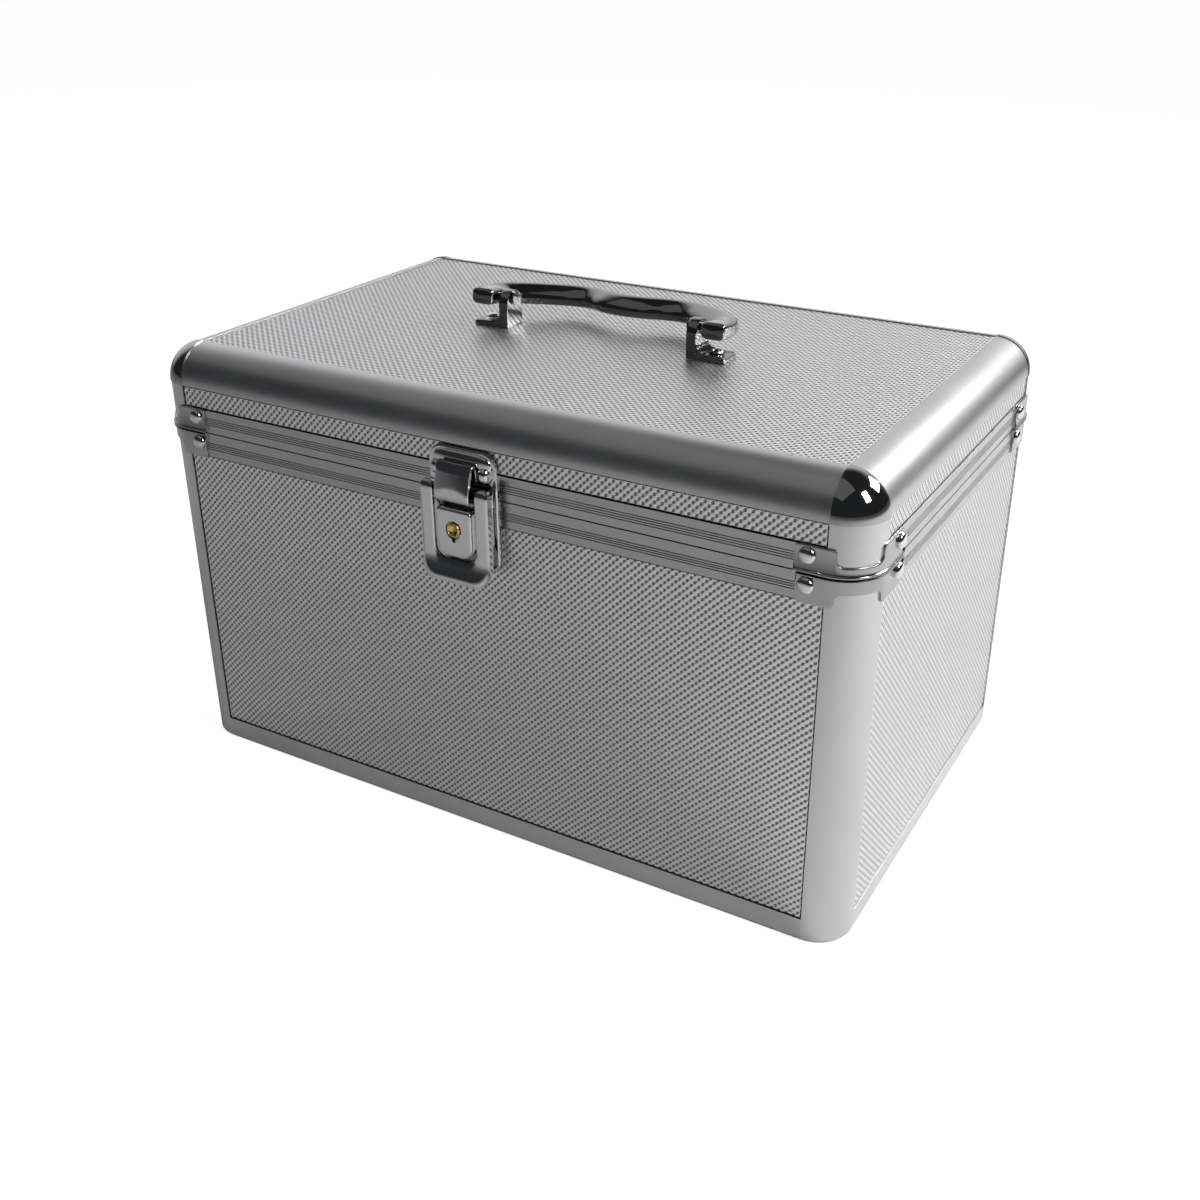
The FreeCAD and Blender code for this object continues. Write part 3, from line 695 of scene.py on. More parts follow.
# ------------------------------------------------------------ corner fittings
@dataclass
class CornerFittings:
    """Pressed fittings at the seam: two legs joined round the corner by a low band with a round notch."""

    size: CaseSize
    thick: float = 0.7
    lip: float = 0.6
    notch_past: float = 3.1
    outer_r: float = 1.3
    notch_r: float = 2.6
    inner_depth: float = 1.45

    def plan(self, s: Array, d: Array) -> tuple[Array, Array]:
        """Point of the wrap line at distance s, moved outwards by d.

        The line is the front face, a quarter circle round the corner, and the right face; s is 0
        where the circle starts.

        Args:
            s: distance along the line.
            d: distance outwards.

        Returns:
            x and y.
        """
        r, c = self.size.radius, self.size
        turn = np.clip(s / r, 0.0, math.pi / 2.0)
        before, past = np.minimum(s, 0.0), np.maximum(s - r * math.pi / 2.0, 0.0)
        x = c.flat_x + before + (r + d) * np.sin(turn)
        y = -c.flat_y + past - (r + d) * np.cos(turn)
        return x, y

    def edge_line(self, reach: tuple[float, float], leg: float, band: float) -> Array:
        """Far edge of a fitting as (s, height above the seam), from the front leg's end to the right one's.

        Args:
            reach: lengths of the two legs before the corner.
            leg: height of the legs.
            band: height of the band.

        Returns:
            n x 2 points with every corner rounded.
        """
        arc = self.size.radius * math.pi / 2.0
        half = arc / 2.0
        ro, rn = self.outer_r, self.notch_r
        quarter = np.linspace(0.0, math.pi / 2.0, 7)
        wall = self.notch_past

        def run(length: float) -> Array:
            """One half of the edge, from the leg's end to the middle of the band."""
            end = np.stack([-length + ro - ro * np.cos(quarter), leg - ro + ro * np.sin(quarter)], -1)
            flat = np.stack([np.linspace(-length + ro, wall - ro, 8)[1:-1], np.full(6, leg)], -1)
            top = np.stack([wall - ro + ro * np.sin(quarter), leg - ro + ro * np.cos(quarter)], -1)
            foot = np.stack([wall + rn - rn * np.cos(quarter), band + rn - rn * np.sin(quarter)], -1)
            over = np.stack([np.linspace(wall + rn, half, 9)[1:], np.full(8, band)], -1)
            return np.concatenate([end, flat, top, foot, over])

        first, second = run(reach[0]), run(reach[1])[:-1][::-1]
        return np.concatenate([first, np.stack([arc - second[:, 0], second[:, 1]], -1)])

    def fitting(self, seam: float, way: float, reach: tuple[float, float], leg: float, band: float) -> Shell:
        """One closed fitting at the front right corner.

        Each column of the grid is a closed section from the seam lip to the far edge and back inside.

        Args:
            seam: height of the seam edge.
            way: +1 for the lid's, -1 for the base's.
            reach: lengths of the legs.
            leg: height of the legs.
            band: height of the band.

        Returns:
            The mesh.
        """
        edge = self.edge_line(reach, leg, band)
        arc = self.size.radius * math.pi / 2.0
        t, top = self.thick, self.thick + self.lip
        section = [(0.0, 0.0), (0.0, top - 0.3), (0.1, top - 0.08), (0.3, top), (0.55, top),
                   (0.78, top - 0.15), (0.95, t + 0.12), (1.25, t)]
        on_band = smooth(self.notch_past, self.notch_past + 0.6, edge[:, 0])
        on_band = on_band * smooth(self.notch_past, self.notch_past + 0.6, arc - edge[:, 0])
        inner = -0.25 - (self.inner_depth - 0.25) * on_band
        rows = []
        for h, d in section:
            rows.append((edge[:, 0], np.full(len(edge), h), np.where(d > 0, d, inner)))
        for near, d in ((1.0, t), (0.35, t), (0.12, t - 0.06), (0.02, t - 0.25), (0.0, 0.1), (0.0, None)):
            h = np.maximum(edge[:, 1] - near, 1.25)
            rows.append((edge[:, 0], h, inner if d is None else np.full(len(edge), d)))
        s, h, d = (np.stack([row[i] for row in rows], -1) for i in range(3))
        x, y = self.plan(s, d)
        shell = Shell()
        index = shell.grid(np.stack([x, y, seam + way * h], -1), wrap=True, flip=way > 0)
        shell.cap(index[0], flip=way > 0)
        shell.cap(index[-1], flip=way < 0)
        return shell

    def build(self) -> None:
        """Make the fittings of both halves and put four of each on the case."""
        c = self.size
        base_low, lid_high = low_high("base_brackets")[0], low_high("lid_brackets")[1]
        halves = (("base", c.base_top, -1.0, (9.8, 14.0), c.base_top - base_low[2], 5.35),
                  ("lid", c.lid_bottom, 1.0, (10.6, 14.0), lid_high[2] - c.lid_bottom, 3.55))
        for body, seam, way, reach, leg, band in halves:
            one = self.fitting(seam, way, reach, leg, band)
            every = Shell()
            for axes in ((), (0,), (1,), (0, 1)):
                every.join(one.mirrored(axes))
            settle(every.piece(body + "_corner_fittings"), Finish.NICKEL, body, body + "_brackets")


# ---------------------------------------------------------------- ball corners
@dataclass
class BallCorners:
    """Polished hollow balls, an eighth of each, where three extrusions of the lid meet."""

    size: CaseSize
    radius: float = 14.7
    inner: float = 12.9
    across: int = 41
    up: int = 37
    pole: float = 88.5

    def build(self) -> None:
        """Make the four corners: skins are r * (cos v sin u, -cos v cos u, sin v), ends are flat strips."""
        c = self.size
        middle = np.array([c.flat_x, -c.flat_y, low_high("lid_ball_corners")[1][2] - self.radius])
        u = np.linspace(0.0, math.pi / 2.0, self.across)[:, None]
        v = np.linspace(0.0, math.radians(self.pole), self.up)
        rise = np.broadcast_to(np.sin(v), (self.across, self.up))
        way = np.stack([np.cos(v) * np.sin(u), -np.cos(v) * np.cos(u), rise], -1)
        one = Shell()
        skins = np.concatenate([way * self.radius, way[:, ::-1] * self.inner], 1)
        index = one.grid(middle + skins, wrap=True, flip=True)
        for row, flip in ((index[0], False), (index[-1], True)):
            one.bridge(row[:self.up], row[self.up:][::-1], flip)
        every = Shell()
        for axes in ((), (0,), (1,), (0, 1)):
            every.join(one.mirrored(axes))
        settle(every.piece("lid_ball_caps"), Finish.CORNER_CHROME, "lid", "lid_ball_corners")


# ---------------------------------------------------------------------- rivets
@dataclass
class Rivets:
    """Domed rivet heads on the corner fittings, the hinges and the handle's feet."""

    size: CaseSize
    radius: float = 2.95
    rise: float = 1.75
    plate: float = 0.7
    front_in: float = 6.3
    side_in: float = 10.1
    heights: tuple[float, float] = (-4.05, 5.95)
    hinge_x: tuple[float, ...] = (-97.0, -73.0, 73.0, 97.0)
    hinge_heights: tuple[float, float] = (-10.45, 10.05)
    hinge_leaf: float = 1.2
    hinge_head: tuple[float, float] = (2.3, 1.1)
    foot_place: tuple[float, float] = (51.2, -0.5)
    foot_thick: float = 2.6
    foot_head: tuple[float, float] = (2.6, 1.2)

    @staticmethod
    def head(shell: Shell, place: Sequence[float], out: Sequence[float], radius: float, rise: float) -> None:
        """Low dome with a short upright edge: height rise*(1 - rho^2.4)^(1/2) over the radius rho.

        Args:
            shell: mesh to add to.
            place: middle of the head's foot.
            out: the way the head looks.
            radius: its radius.
            rise: its height.
        """
        way = np.array(out, float)
        side = np.cross(way, (0.0, 0.0, 1.0) if abs(way[2]) < 0.5 else (1.0, 0.0, 0.0))
        other = np.cross(way, side)
        turn = np.linspace(0.0, 2.0 * math.pi, 33)[:-1]
        rho = np.concatenate([[1.0, 1.0], np.sin(np.linspace(math.pi / 2.0, 0.05, 11))[1:]])[:, None]
        lift = 0.25 + (rise - 0.25) * np.sqrt(np.clip(1.0 - rho ** 2.4, 0.0, 1.0))
        lift[0] = 0.0
        ring = np.cos(turn)[:, None] * side + np.sin(turn)[:, None] * other
        xyz = np.array(place, float) + radius * rho[..., None] * ring[None] + lift[..., None] * way
        index = shell.grid(xyz, wrap=True)
        shell.cap(index[-1])
        shell.cap(index[0], flip=True)

    def build(self) -> None:
        """Make the heads of both halves."""
        c = self.size
        seams = (c.base_top, c.lid_bottom)
        leaves = (seams[0] + self.hinge_heights[0], seams[1] + self.hinge_heights[1])
        top = low_high("lid_panel_top")[1][2]
        for body, seam, leaf, height in zip(("base", "lid"), seams, leaves, self.heights):
            shell = Shell()
            for sx in (-1.0, 1.0):
                for sy in (-1.0, 1.0):
                    on_front = (sx * (c.flat_x - self.front_in), sy * (c.half_y + self.plate), seam + height)
                    on_side = (sx * (c.half_x + self.plate), sy * (c.flat_y - self.side_in), seam + height)
                    self.head(shell, on_front, (0.0, sy, 0.0), self.radius, self.rise)
                    self.head(shell, on_side, (sx, 0.0, 0.0), self.radius, self.rise)
                if body == "lid":
                    on_foot = (sx * self.foot_place[0], self.foot_place[1], top + self.foot_thick)
                    self.head(shell, on_foot, (0.0, 0.0, 1.0), *self.foot_head)
            for x in self.hinge_x:
                self.head(shell, (x, c.half_y + self.hinge_leaf, leaf), (0.0, 1.0, 0.0), *self.hinge_head)
            settle(shell.piece(body + "_rivet_heads"), Finish.RIVET_CHROME, body, body + "_rivets")


# ----------------------------------------------------------------------- latch
def inset_rings(half: tuple[float, float], radii: Sequence[float], steps: Sequence[tuple[float, float]],
                per_corner: int = 10) -> Array:
    """Rounded rectangles drawn in by an inset, one for each step.

    Args:
        half: half width and half height of the first outline.
        radii: its corner radii.
        steps: (inset, depth) pairs.
        per_corner: cells of each corner arc.

    Returns:
        len(steps) x n x 3 points (across, up, depth).
    """
    rings = []
    for inset, depth in steps:
        small = [max(r - inset, 0.05) for r in radii]
        ring = rounded_outline(half[0] - inset, half[1] - inset, small, per_corner, 0.0)
        rings.append(np.column_stack([ring, np.full(len(ring), depth)]))
    return np.stack(rings)


@dataclass
class Latch:
    """Drawbolt latch with a cylinder lock: plate, lock housing, lever, claw, catch and brass plug."""

    size: CaseSize
    centre_x: float = field(init=False)
    face_y: float = field(init=False)
    ear_across: tuple[float, float] = (10.3, 11.5)
    ear_foot: tuple[tuple[float, float], ...] = ((1.0, 143.8), (1.0, 137.0))
    ear_round: float = 1.5
    body_gap: float = 0.45
    mouth_radius: float = 3.3
    mouth_guide: float = 1.5
    lever_top: float = 151.2
    roll_start: float = 147.3
    window_half: float = 9.0
    window_sill: float = 121.3
    lever_corner: float = 6.2
    window_corner: float = 4.2

    def __post_init__(self) -> None:
        """Find the latch's middle line and the face that it stands on."""
        low, high = low_high("latch_plate")
        self.centre_x = float(low[0] + high[0]) / 2.0
        self.face_y = -self.size.half_y

    def placed(self, points: Array) -> Array:
        """Turn (across, height z, outwards q) into x, y, z."""
        across, height, out = points[..., 0], points[..., 1], points[..., 2]
        return np.stack([self.centre_x + across, self.face_y - out, height], -1)

    def plate(self, shell: Shell, node: str, radii: Sequence[float],
              profile: Sequence[tuple[float, float]]) -> None:
        """Flat plate with rolled edges and round corners that fills a CAD node's outline.

        Args:
            shell: mesh to add to.
            node: CAD node that gives width and height.
            radii: corner radii.
            profile: (inset, outward) pairs from the back edge over the front.
        """
        low, high = low_high(node)
        half = ((high[0] - low[0]) / 2.0, (high[2] - low[2]) / 2.0)
        middle = (low[2] + high[2]) / 2.0
        rings = inset_rings(half, radii, profile) + np.array([0.0, middle, 0.0])
        index = shell.grid(self.placed(rings), wrap=True)
        shell.cap(index[-1])
        shell.cap(index[0], flip=True)

    def swept(self, shell: Shell, sections: Array, across: Array) -> None:
        """Closed (outward, height) sections carried across the latch and capped at both ends.

        Args:
            shell: mesh to add to.
            sections: m x n x 2 closed outlines, clockwise seen from the right.
            across: the m positions across the latch.
        """
        out, height = sections[..., 0], sections[..., 1]
        wide = np.broadcast_to(across[:, None], out.shape)
        index = shell.grid(self.placed(np.stack([wide, height, out], -1)), wrap=True, flip=True)
        shell.cap(index[0])
        shell.cap(index[-1], flip=True)

    def dome(self, shell: Shell, centre: tuple[float, float, float], half: tuple[float, float],
             rise: float, power: float = 3.2) -> None:
        """Pillow with a superellipse outline |x/a|^p + |z/b|^p = 1 and a height of rise*(1 - rho^3)^(1/2).

        Args:
            shell: mesh to add to.
            centre: across, height and outward place of its foot.
            half: half width and half height.
            rise: how far it stands out.
            power: p of the outline.
        """
        turn = np.linspace(0.0, 2.0 * math.pi, 49)[:-1]
        rho = np.sin(np.linspace(math.pi / 2.0, 0.06, 15))[:, None]
        ox = np.sign(np.cos(turn)) * np.abs(np.cos(turn)) ** (2.0 / power)
        oz = np.sign(np.sin(turn)) * np.abs(np.sin(turn)) ** (2.0 / power)
        out = centre[2] + rise * np.sqrt(1.0 - rho ** 3)
        grid = np.stack([centre[0] + half[0] * rho * ox, centre[1] + half[1] * rho * oz,
                         np.broadcast_to(out, (len(rho), len(turn)))], -1)
        index = shell.grid(self.placed(grid), wrap=True)
        shell.cap(index[-1])
        shell.cap(index[0], flip=True)

    def build_plate(self) -> None:
        """Back plate on the base with the two ears that carry the lever's pin."""
        shell = Shell()
        self.plate(shell, "latch_plate", (0.4, 0.4, 5.0, 5.0),
                   ((0.0, 0.0), (0.0, 0.6), (0.12, 0.95), (0.4, 1.15), (0.9, 1.2), (1.5, 1.2)))
        pin_low, pin_high = low_high("lever_pin")
        axis_q = self.face_y - (pin_low[1] + pin_high[1]) / 2.0
        axis_z = (pin_low[2] + pin_high[2]) / 2.0
        turn = np.linspace(-0.6, 2.6, 12)
        nose = np.stack([axis_q + self.ear_round * np.cos(turn), axis_z + self.ear_round * np.sin(turn)], -1)
        ear = np.concatenate([self.ear_foot, nose])
        middle = ear.mean(0)
        near, far = self.ear_across
        for x0, x1 in ((near, far), (-far, -near)):
            sizes = np.array([0.93, 1.0, 1.0, 0.93])
            sections = middle + (ear - middle) * sizes[:, None, None]
            self.swept(shell, sections, np.array([x0, x0 + 0.15, x1 - 0.15, x1]))
        settle(shell.piece("latch_back_plate"), Finish.LATCH, "base", "latch_plate")

    def build_catch(self) -> None:
        """Keeper on the lid: rolled plate, low pillow, two shoulders beside the claw and its bar."""
        shell = Shell()
        self.plate(shell, "latch_catch", (6.0, 6.0, 0.4, 0.4),
                   ((0.0, 0.0), (0.0, 0.5), (0.12, 0.8), (0.4, 0.96), (0.9, 1.0), (1.5, 1.0)))
        self.dome(shell, (0.0, 155.6, 0.9), (12.4, 5.4), 2.2, 3.6)
        for side in (-1.0, 1.0):
            self.dome(shell, (side * 9.9, 153.8, 0.9), (2.5, 3.1), 3.4, 2.6)
        bar = np.array([(0.9, 150.8), (2.8, 151.3), (3.2, 152.0), (3.2, 155.4), (2.8, 156.0), (0.9, 156.4)])
        self.swept(shell, np.stack([bar] * 3), np.array([-7.0, 0.0, 7.0]))
        settle(shell.piece("latch_keeper"), Finish.LATCH, "lid", "latch_catch")

    def keyway(self, count: int) -> Array:
        """Round mouth of the lock; near straight down its radius is longer by the key guide."""
        turn = np.linspace(0.0, 2.0 * math.pi, count + 1)[:-1]
        down = np.abs((turn - 1.5 * math.pi + math.pi) % (2.0 * math.pi) - math.pi)
        reach = self.mouth_radius + self.mouth_guide * (1.0 - smooth(0.15, 0.25, down))
        return np.stack([reach * np.cos(turn), reach * np.sin(turn)], -1)

    def build_housing(self) -> None:
        """Raised lock body with a soft edge, round lower corners and a mouth for the plug."""
        low, high = low_high("lock_housing")
        half = ((high[0] - low[0]) / 2.0 - self.body_gap, (high[2] - low[2]) / 2.0)
        middle = (low[2] + high[2]) / 2.0
        plug_low, plug_high = low_high("lock_cylinder")
        lock_z = (plug_low[2] + plug_high[2]) / 2.0
        out0, out1 = self.face_y - high[1], self.face_y - low[1]
        steps = ((0.0, out0), (0.0, out1 - 1.0), (0.10, out1 - 0.5), (0.32, out1 - 0.18), (0.7, out1 - 0.03),
                 (1.2, out1))
        count = 96
        rings = []
        for inset, out in steps:
            radii = [max(r - inset, 0.3) for r in (1.6, 1.6, 4.6, 4.6)]
            ring = self.by_angle(rounded_outline(half[0] - inset, half[1] - inset, radii, 16, 0.4), count,
                                 (0.0, lock_z - middle))
            rings.append(np.column_stack([ring, np.full(count, out)]))
        mouth = self.keyway(count) + np.array([0.0, lock_z - middle])
        outer = rings[-1][:, :2]
        for share in (0.45, 0.85, 0.97):
            rings.append(np.column_stack([outer + (mouth - outer) * share, np.full(count, out1)]))
        for out in (out1 - 0.12, out1 - 2.0):
            rings.append(np.column_stack([mouth, np.full(count, out)]))
        grid = np.stack(rings) + np.array([0.0, middle, 0.0])
        shell = Shell()
        index = shell.grid(self.placed(grid), wrap=True)
        shell.cap(index[-1])
        shell.cap(index[0], flip=True)
        settle(shell.piece("lock_body"), Finish.LATCH, "base", "lock_housing")

    @staticmethod
    def by_angle(outline: Array, count: int, centre: tuple[float, float]) -> Array:
        """Points of a closed outline at even angles about a centre.

        Args:
            outline: n x 2 points, anticlockwise.
            count: number of points wanted.
            centre: where the angles are taken.

        Returns:
            count x 2 points.
        """
        arm = outline - np.array(centre)
        angle = np.arctan2(arm[:, 1], arm[:, 0]) % (2.0 * math.pi)
        order = np.argsort(angle)
        wanted = np.linspace(0.0, 2.0 * math.pi, count + 1)[:-1]
        reach = np.interp(wanted, angle[order], np.hypot(arm[:, 0], arm[:, 1])[order], period=2.0 * math.pi)
        return np.stack([reach * np.cos(wanted), reach * np.sin(wanted)], -1) + np.array(centre)

    def build_plug(self) -> None:
        """Brass plug: bevelled rim, a turned step, a shallow dish and a key slot."""
        low, high = low_high("lock_cylinder")
        centre_z, radius = (low[2] + high[2]) / 2.0, (high[0] - low[0]) / 2.0
        back, front = self.face_y - high[1], self.face_y - low[1]
        turn = np.linspace(0.0, 2.0 * math.pi, 65)[:-1]
        circle = np.stack([np.cos(turn), np.sin(turn)], -1)
        slot_x = np.sign(np.cos(turn)) * np.abs(np.cos(turn)) ** 0.4 * 0.42
        slot_z = np.sign(np.sin(turn)) * np.abs(np.sin(turn)) ** 0.7 * 1.55
        slot = np.stack([slot_x, slot_z], -1)
        rings = [np.column_stack([circle * radius * k, np.full(64, q)]) for k, q in (
            (1.0, back), (1.0, front - 0.35), (0.94, front - 0.12), (0.86, front), (0.80, front),
            (0.78, front - 0.16), (0.75, front - 0.22), (0.72, front - 0.26))]
        for share, q in ((0.5, front - 0.72), (0.92, front - 1.02), (1.0, front - 1.1), (1.0, front - 1.8)):
            inner = circle * radius * 0.72 * (1.0 - share) + slot * share
            rings.append(np.column_stack([inner, np.full(64, q)]))
        shell = Shell()
        index = shell.grid(self.placed(np.stack(rings) + np.array([0.0, centre_z, 0.0])), wrap=True)
        shell.cap(index[-1])
        shell.cap(index[0], flip=True)
        centre = (self.centre_x * MM, (self.face_y - front) * MM, centre_z * MM)
        settle(shell.piece("lock_plug"), BrassPlug("turned_brass", centre), "lock_cylinder", "lock_cylinder")

    def lever_sheet(self, inner: Array, outer: Array, drop: float, shares: Array) -> Array:
        """Front or back skin of the lever: between the window's edge and the outside edge.

        The skin is crowned across its width, leans outwards below the window and rolls back round
        the hinge pin above it.

        Args:
            inner: n x 2 window edge (across, height).
            outer: n x 2 outside edge.
            drop: distance behind the front skin.
            shares: places across the width, 0 at the window and 1 outside.

        Returns:
            n x len(shares) x 3 points (across, height, outwards).
        """
        pin_low, pin_high = low_high("lever_pin")
        axis_q = self.face_y - (pin_low[1] + pin_high[1]) / 2.0
        axis_z = (pin_low[2] + pin_high[2]) / 2.0
        flat = inner[:, None] + (outer - inner)[:, None] * shares[None, :, None]
        crown = 0.55 * (1.0 - (1.0 - smooth(0.0, 0.10, shares)) * 0.7 - smooth(0.80, 1.0, shares) ** 1.5)
        across, height = flat[..., 0], flat[..., 1]
        front = 2.55 + crown[None, :] - drop
        lean = 2.3 * np.clip((121.8 - height) / 8.0, 0.0, 1.2) ** 1.15
        over = np.maximum(height - axis_z, 0.0)
        angle = over / 3.0
        out = axis_q + np.where(over > 0, front * np.cos(angle), front) + lean
        tall = np.where(over > 0, axis_z + front * np.sin(angle), height)
        return np.stack([across, tall, out], -1)

    def lever_edges(self) -> tuple[Array, Array]:
        """Window edge and outside edge of the lever, laid flat, from the left arm's top round to the right's.

        Above the hinge line the arms narrow as w * (1 - s^2.2)^(1/2), with s from 0 to 1 over the roll.

        Returns:
            Window edge and outside edge, both n x 2 (across, height).
        """
        low, high = low_high("latch_lever")
        side, bottom = (high[0] - low[0]) / 2.0, low[2]
        top, start, window, sill = self.lever_top, self.roll_start, self.window_half, self.window_sill
        r_out, r_in = self.lever_corner, self.window_corner
        quarter = np.linspace(0.0, math.pi / 2.0, 13)
        roll = start + (top - start) * np.sin(np.linspace(1.42, 0.0, 9))
        arm = np.concatenate([roll, np.linspace(146.0, bottom + r_out + 1.5, 12)])
        inner_arm = np.concatenate([roll, np.linspace(146.0, sill + r_in + 0.5, 12)])
        share = np.clip((arm - start) / (top - start), 0.0, 1.0)
        narrow = (side - window) / 2.0 * (1.0 - np.sqrt(1.0 - share ** 2.2))
        turned = np.stack([-np.cos(quarter), -np.sin(quarter)], -1)
        left_out = np.concatenate([
            np.stack([narrow - side, arm], -1),
            np.array([-side + r_out, bottom + r_out]) + r_out * turned])
        left_in = np.concatenate([
            np.stack([-window - narrow, inner_arm], -1),
            np.array([-window + r_in, sill + r_in]) + r_in * turned])
        across = np.linspace(-1.0, 1.0, 11)[1:-1, None]
        mid_out = np.column_stack([across[:, 0] * (side - r_out), np.full(9, bottom)])
        mid_in = np.column_stack([across[:, 0] * (window - r_in), np.full(9, sill)])
        flip = np.array([-1.0, 1.0])
        outer = np.concatenate([left_out, mid_out, left_out[::-1] * flip])
        inner = np.concatenate([left_in, mid_in, left_in[::-1] * flip])
        return inner, outer

    def build_lever(self) -> None:
        """Pressed lever: a U of crowned sheet with turned-in edges, open at the top for the claw."""
        inner, outer = self.lever_edges()
        shares = np.array([0.0, 0.03, 0.08, 0.16, 0.3, 0.45, 0.6, 0.72, 0.82, 0.90, 0.955, 0.985, 1.0])
        front = self.lever_sheet(inner, outer, 0.0, shares)
        back = self.lever_sheet(inner, outer, 1.1, np.array([1.0, 0.96, 0.5, 0.04, 0.0]))
        edge = np.array([0.0, 0.0, -2.4])
        reach = np.clip((np.minimum(outer[:, 1], 148.0) - 110.0) / 3.0, 0.5, 1.0)
        skirt_out = front[:, -1:] + edge * (reach * smooth(150.5, 147.0, outer[:, 1]))[:, None, None]
        skirt_in = skirt_out.copy()
        pull = (inner - outer) / np.linalg.norm(inner - outer, axis=1, keepdims=True)
        skirt_in[:, 0, :2] += pull * 1.0
        under = back[:, :1].copy()
        under[:, 0, :2] += pull * 1.0
        ring = np.concatenate([front, skirt_out, skirt_in, under, back[:, 1:]], 1)
        shell = Shell()
        index = shell.grid(self.placed(ring), wrap=True, flip=True)
        shell.cap(index[0])
        shell.cap(index[-1], flip=True)
        settle(shell.piece("latch_lever_pressing"), Finish.LATCH, "latch_lever", "latch_lever")

    def build_claw(self) -> None:
        """Claw: a thumb piece that leans out towards a flared foot, hooked over the keeper at the top."""
        low, high = low_high("latch_claw")
        half, q_out = (high[0] - low[0]) / 2.0, self.face_y - low[1]
        pin = low_high("claw_pin")
        pin_q, pin_z = self.face_y - (pin[0][1] + pin[1][1]) / 2.0, (pin[0][2] + pin[1][2]) / 2.0
        across = half * np.sin(np.linspace(-math.pi / 2.0, math.pi / 2.0, 25))
        share = np.abs(across) / half
        edge = 0.32 * (1.0 - np.sqrt(np.clip(1.0 - share ** 10, 0.0, 1.0)))
        bend = 149.2 - 2.2 * share ** 2
        height = np.array([144.6, 144.9, 145.6, 146.6, 147.6, 148.4, 149.0, 149.6, 150.6, 152.5, 154.5,
                           156.2, 157.2, 157.7, 158.0])
        tall = np.broadcast_to(height, (len(across), len(height)))
        slope = np.maximum(tall - bend[:, None], 0.0)
        face = q_out - 0.23 * slope - edge[:, None]
        face = face - 0.55 * smooth(156.4, 158.0, tall) - 0.25 * smooth(145.4, 144.5, tall)
        hook = np.array([(4.4, 158.0), (3.8, 157.8), (3.6, 157.3), (3.8, 156.8), (4.2, 156.5), (4.9, 156.3),
                         (5.5, 155.8), (5.8, 155.0), (7.0, 150.0), (7.6, 147.0), (7.2, 146.0)])
        turn = np.linspace(math.radians(120.0), math.radians(330.0), 10)
        eye = np.stack([pin_q + 1.5 * np.cos(turn), pin_z + 1.5 * np.sin(turn)], -1)
        back = np.concatenate([hook, eye])
        behind = np.broadcast_to(back, (len(across),) + back.shape)
        sections = np.concatenate([np.stack([face, tall], -1), behind], 1)
        middle = sections.mean(1, keepdims=True)
        shrink = (1.0 - 0.04 * smooth(0.97, 1.0, share))[:, None, None]
        shell = Shell()
        self.swept(shell, (middle + (sections - middle) * shrink)[:, ::-1], across)
        settle(shell.piece("latch_claw_pressing"), Finish.LATCH, "latch_claw", "latch_claw")

    def build(self) -> None:
        """Make every part of the latch."""
        self.build_plate()
        self.build_catch()
        self.build_housing()
        self.build_plug()
        self.build_lever()
        self.build_claw()


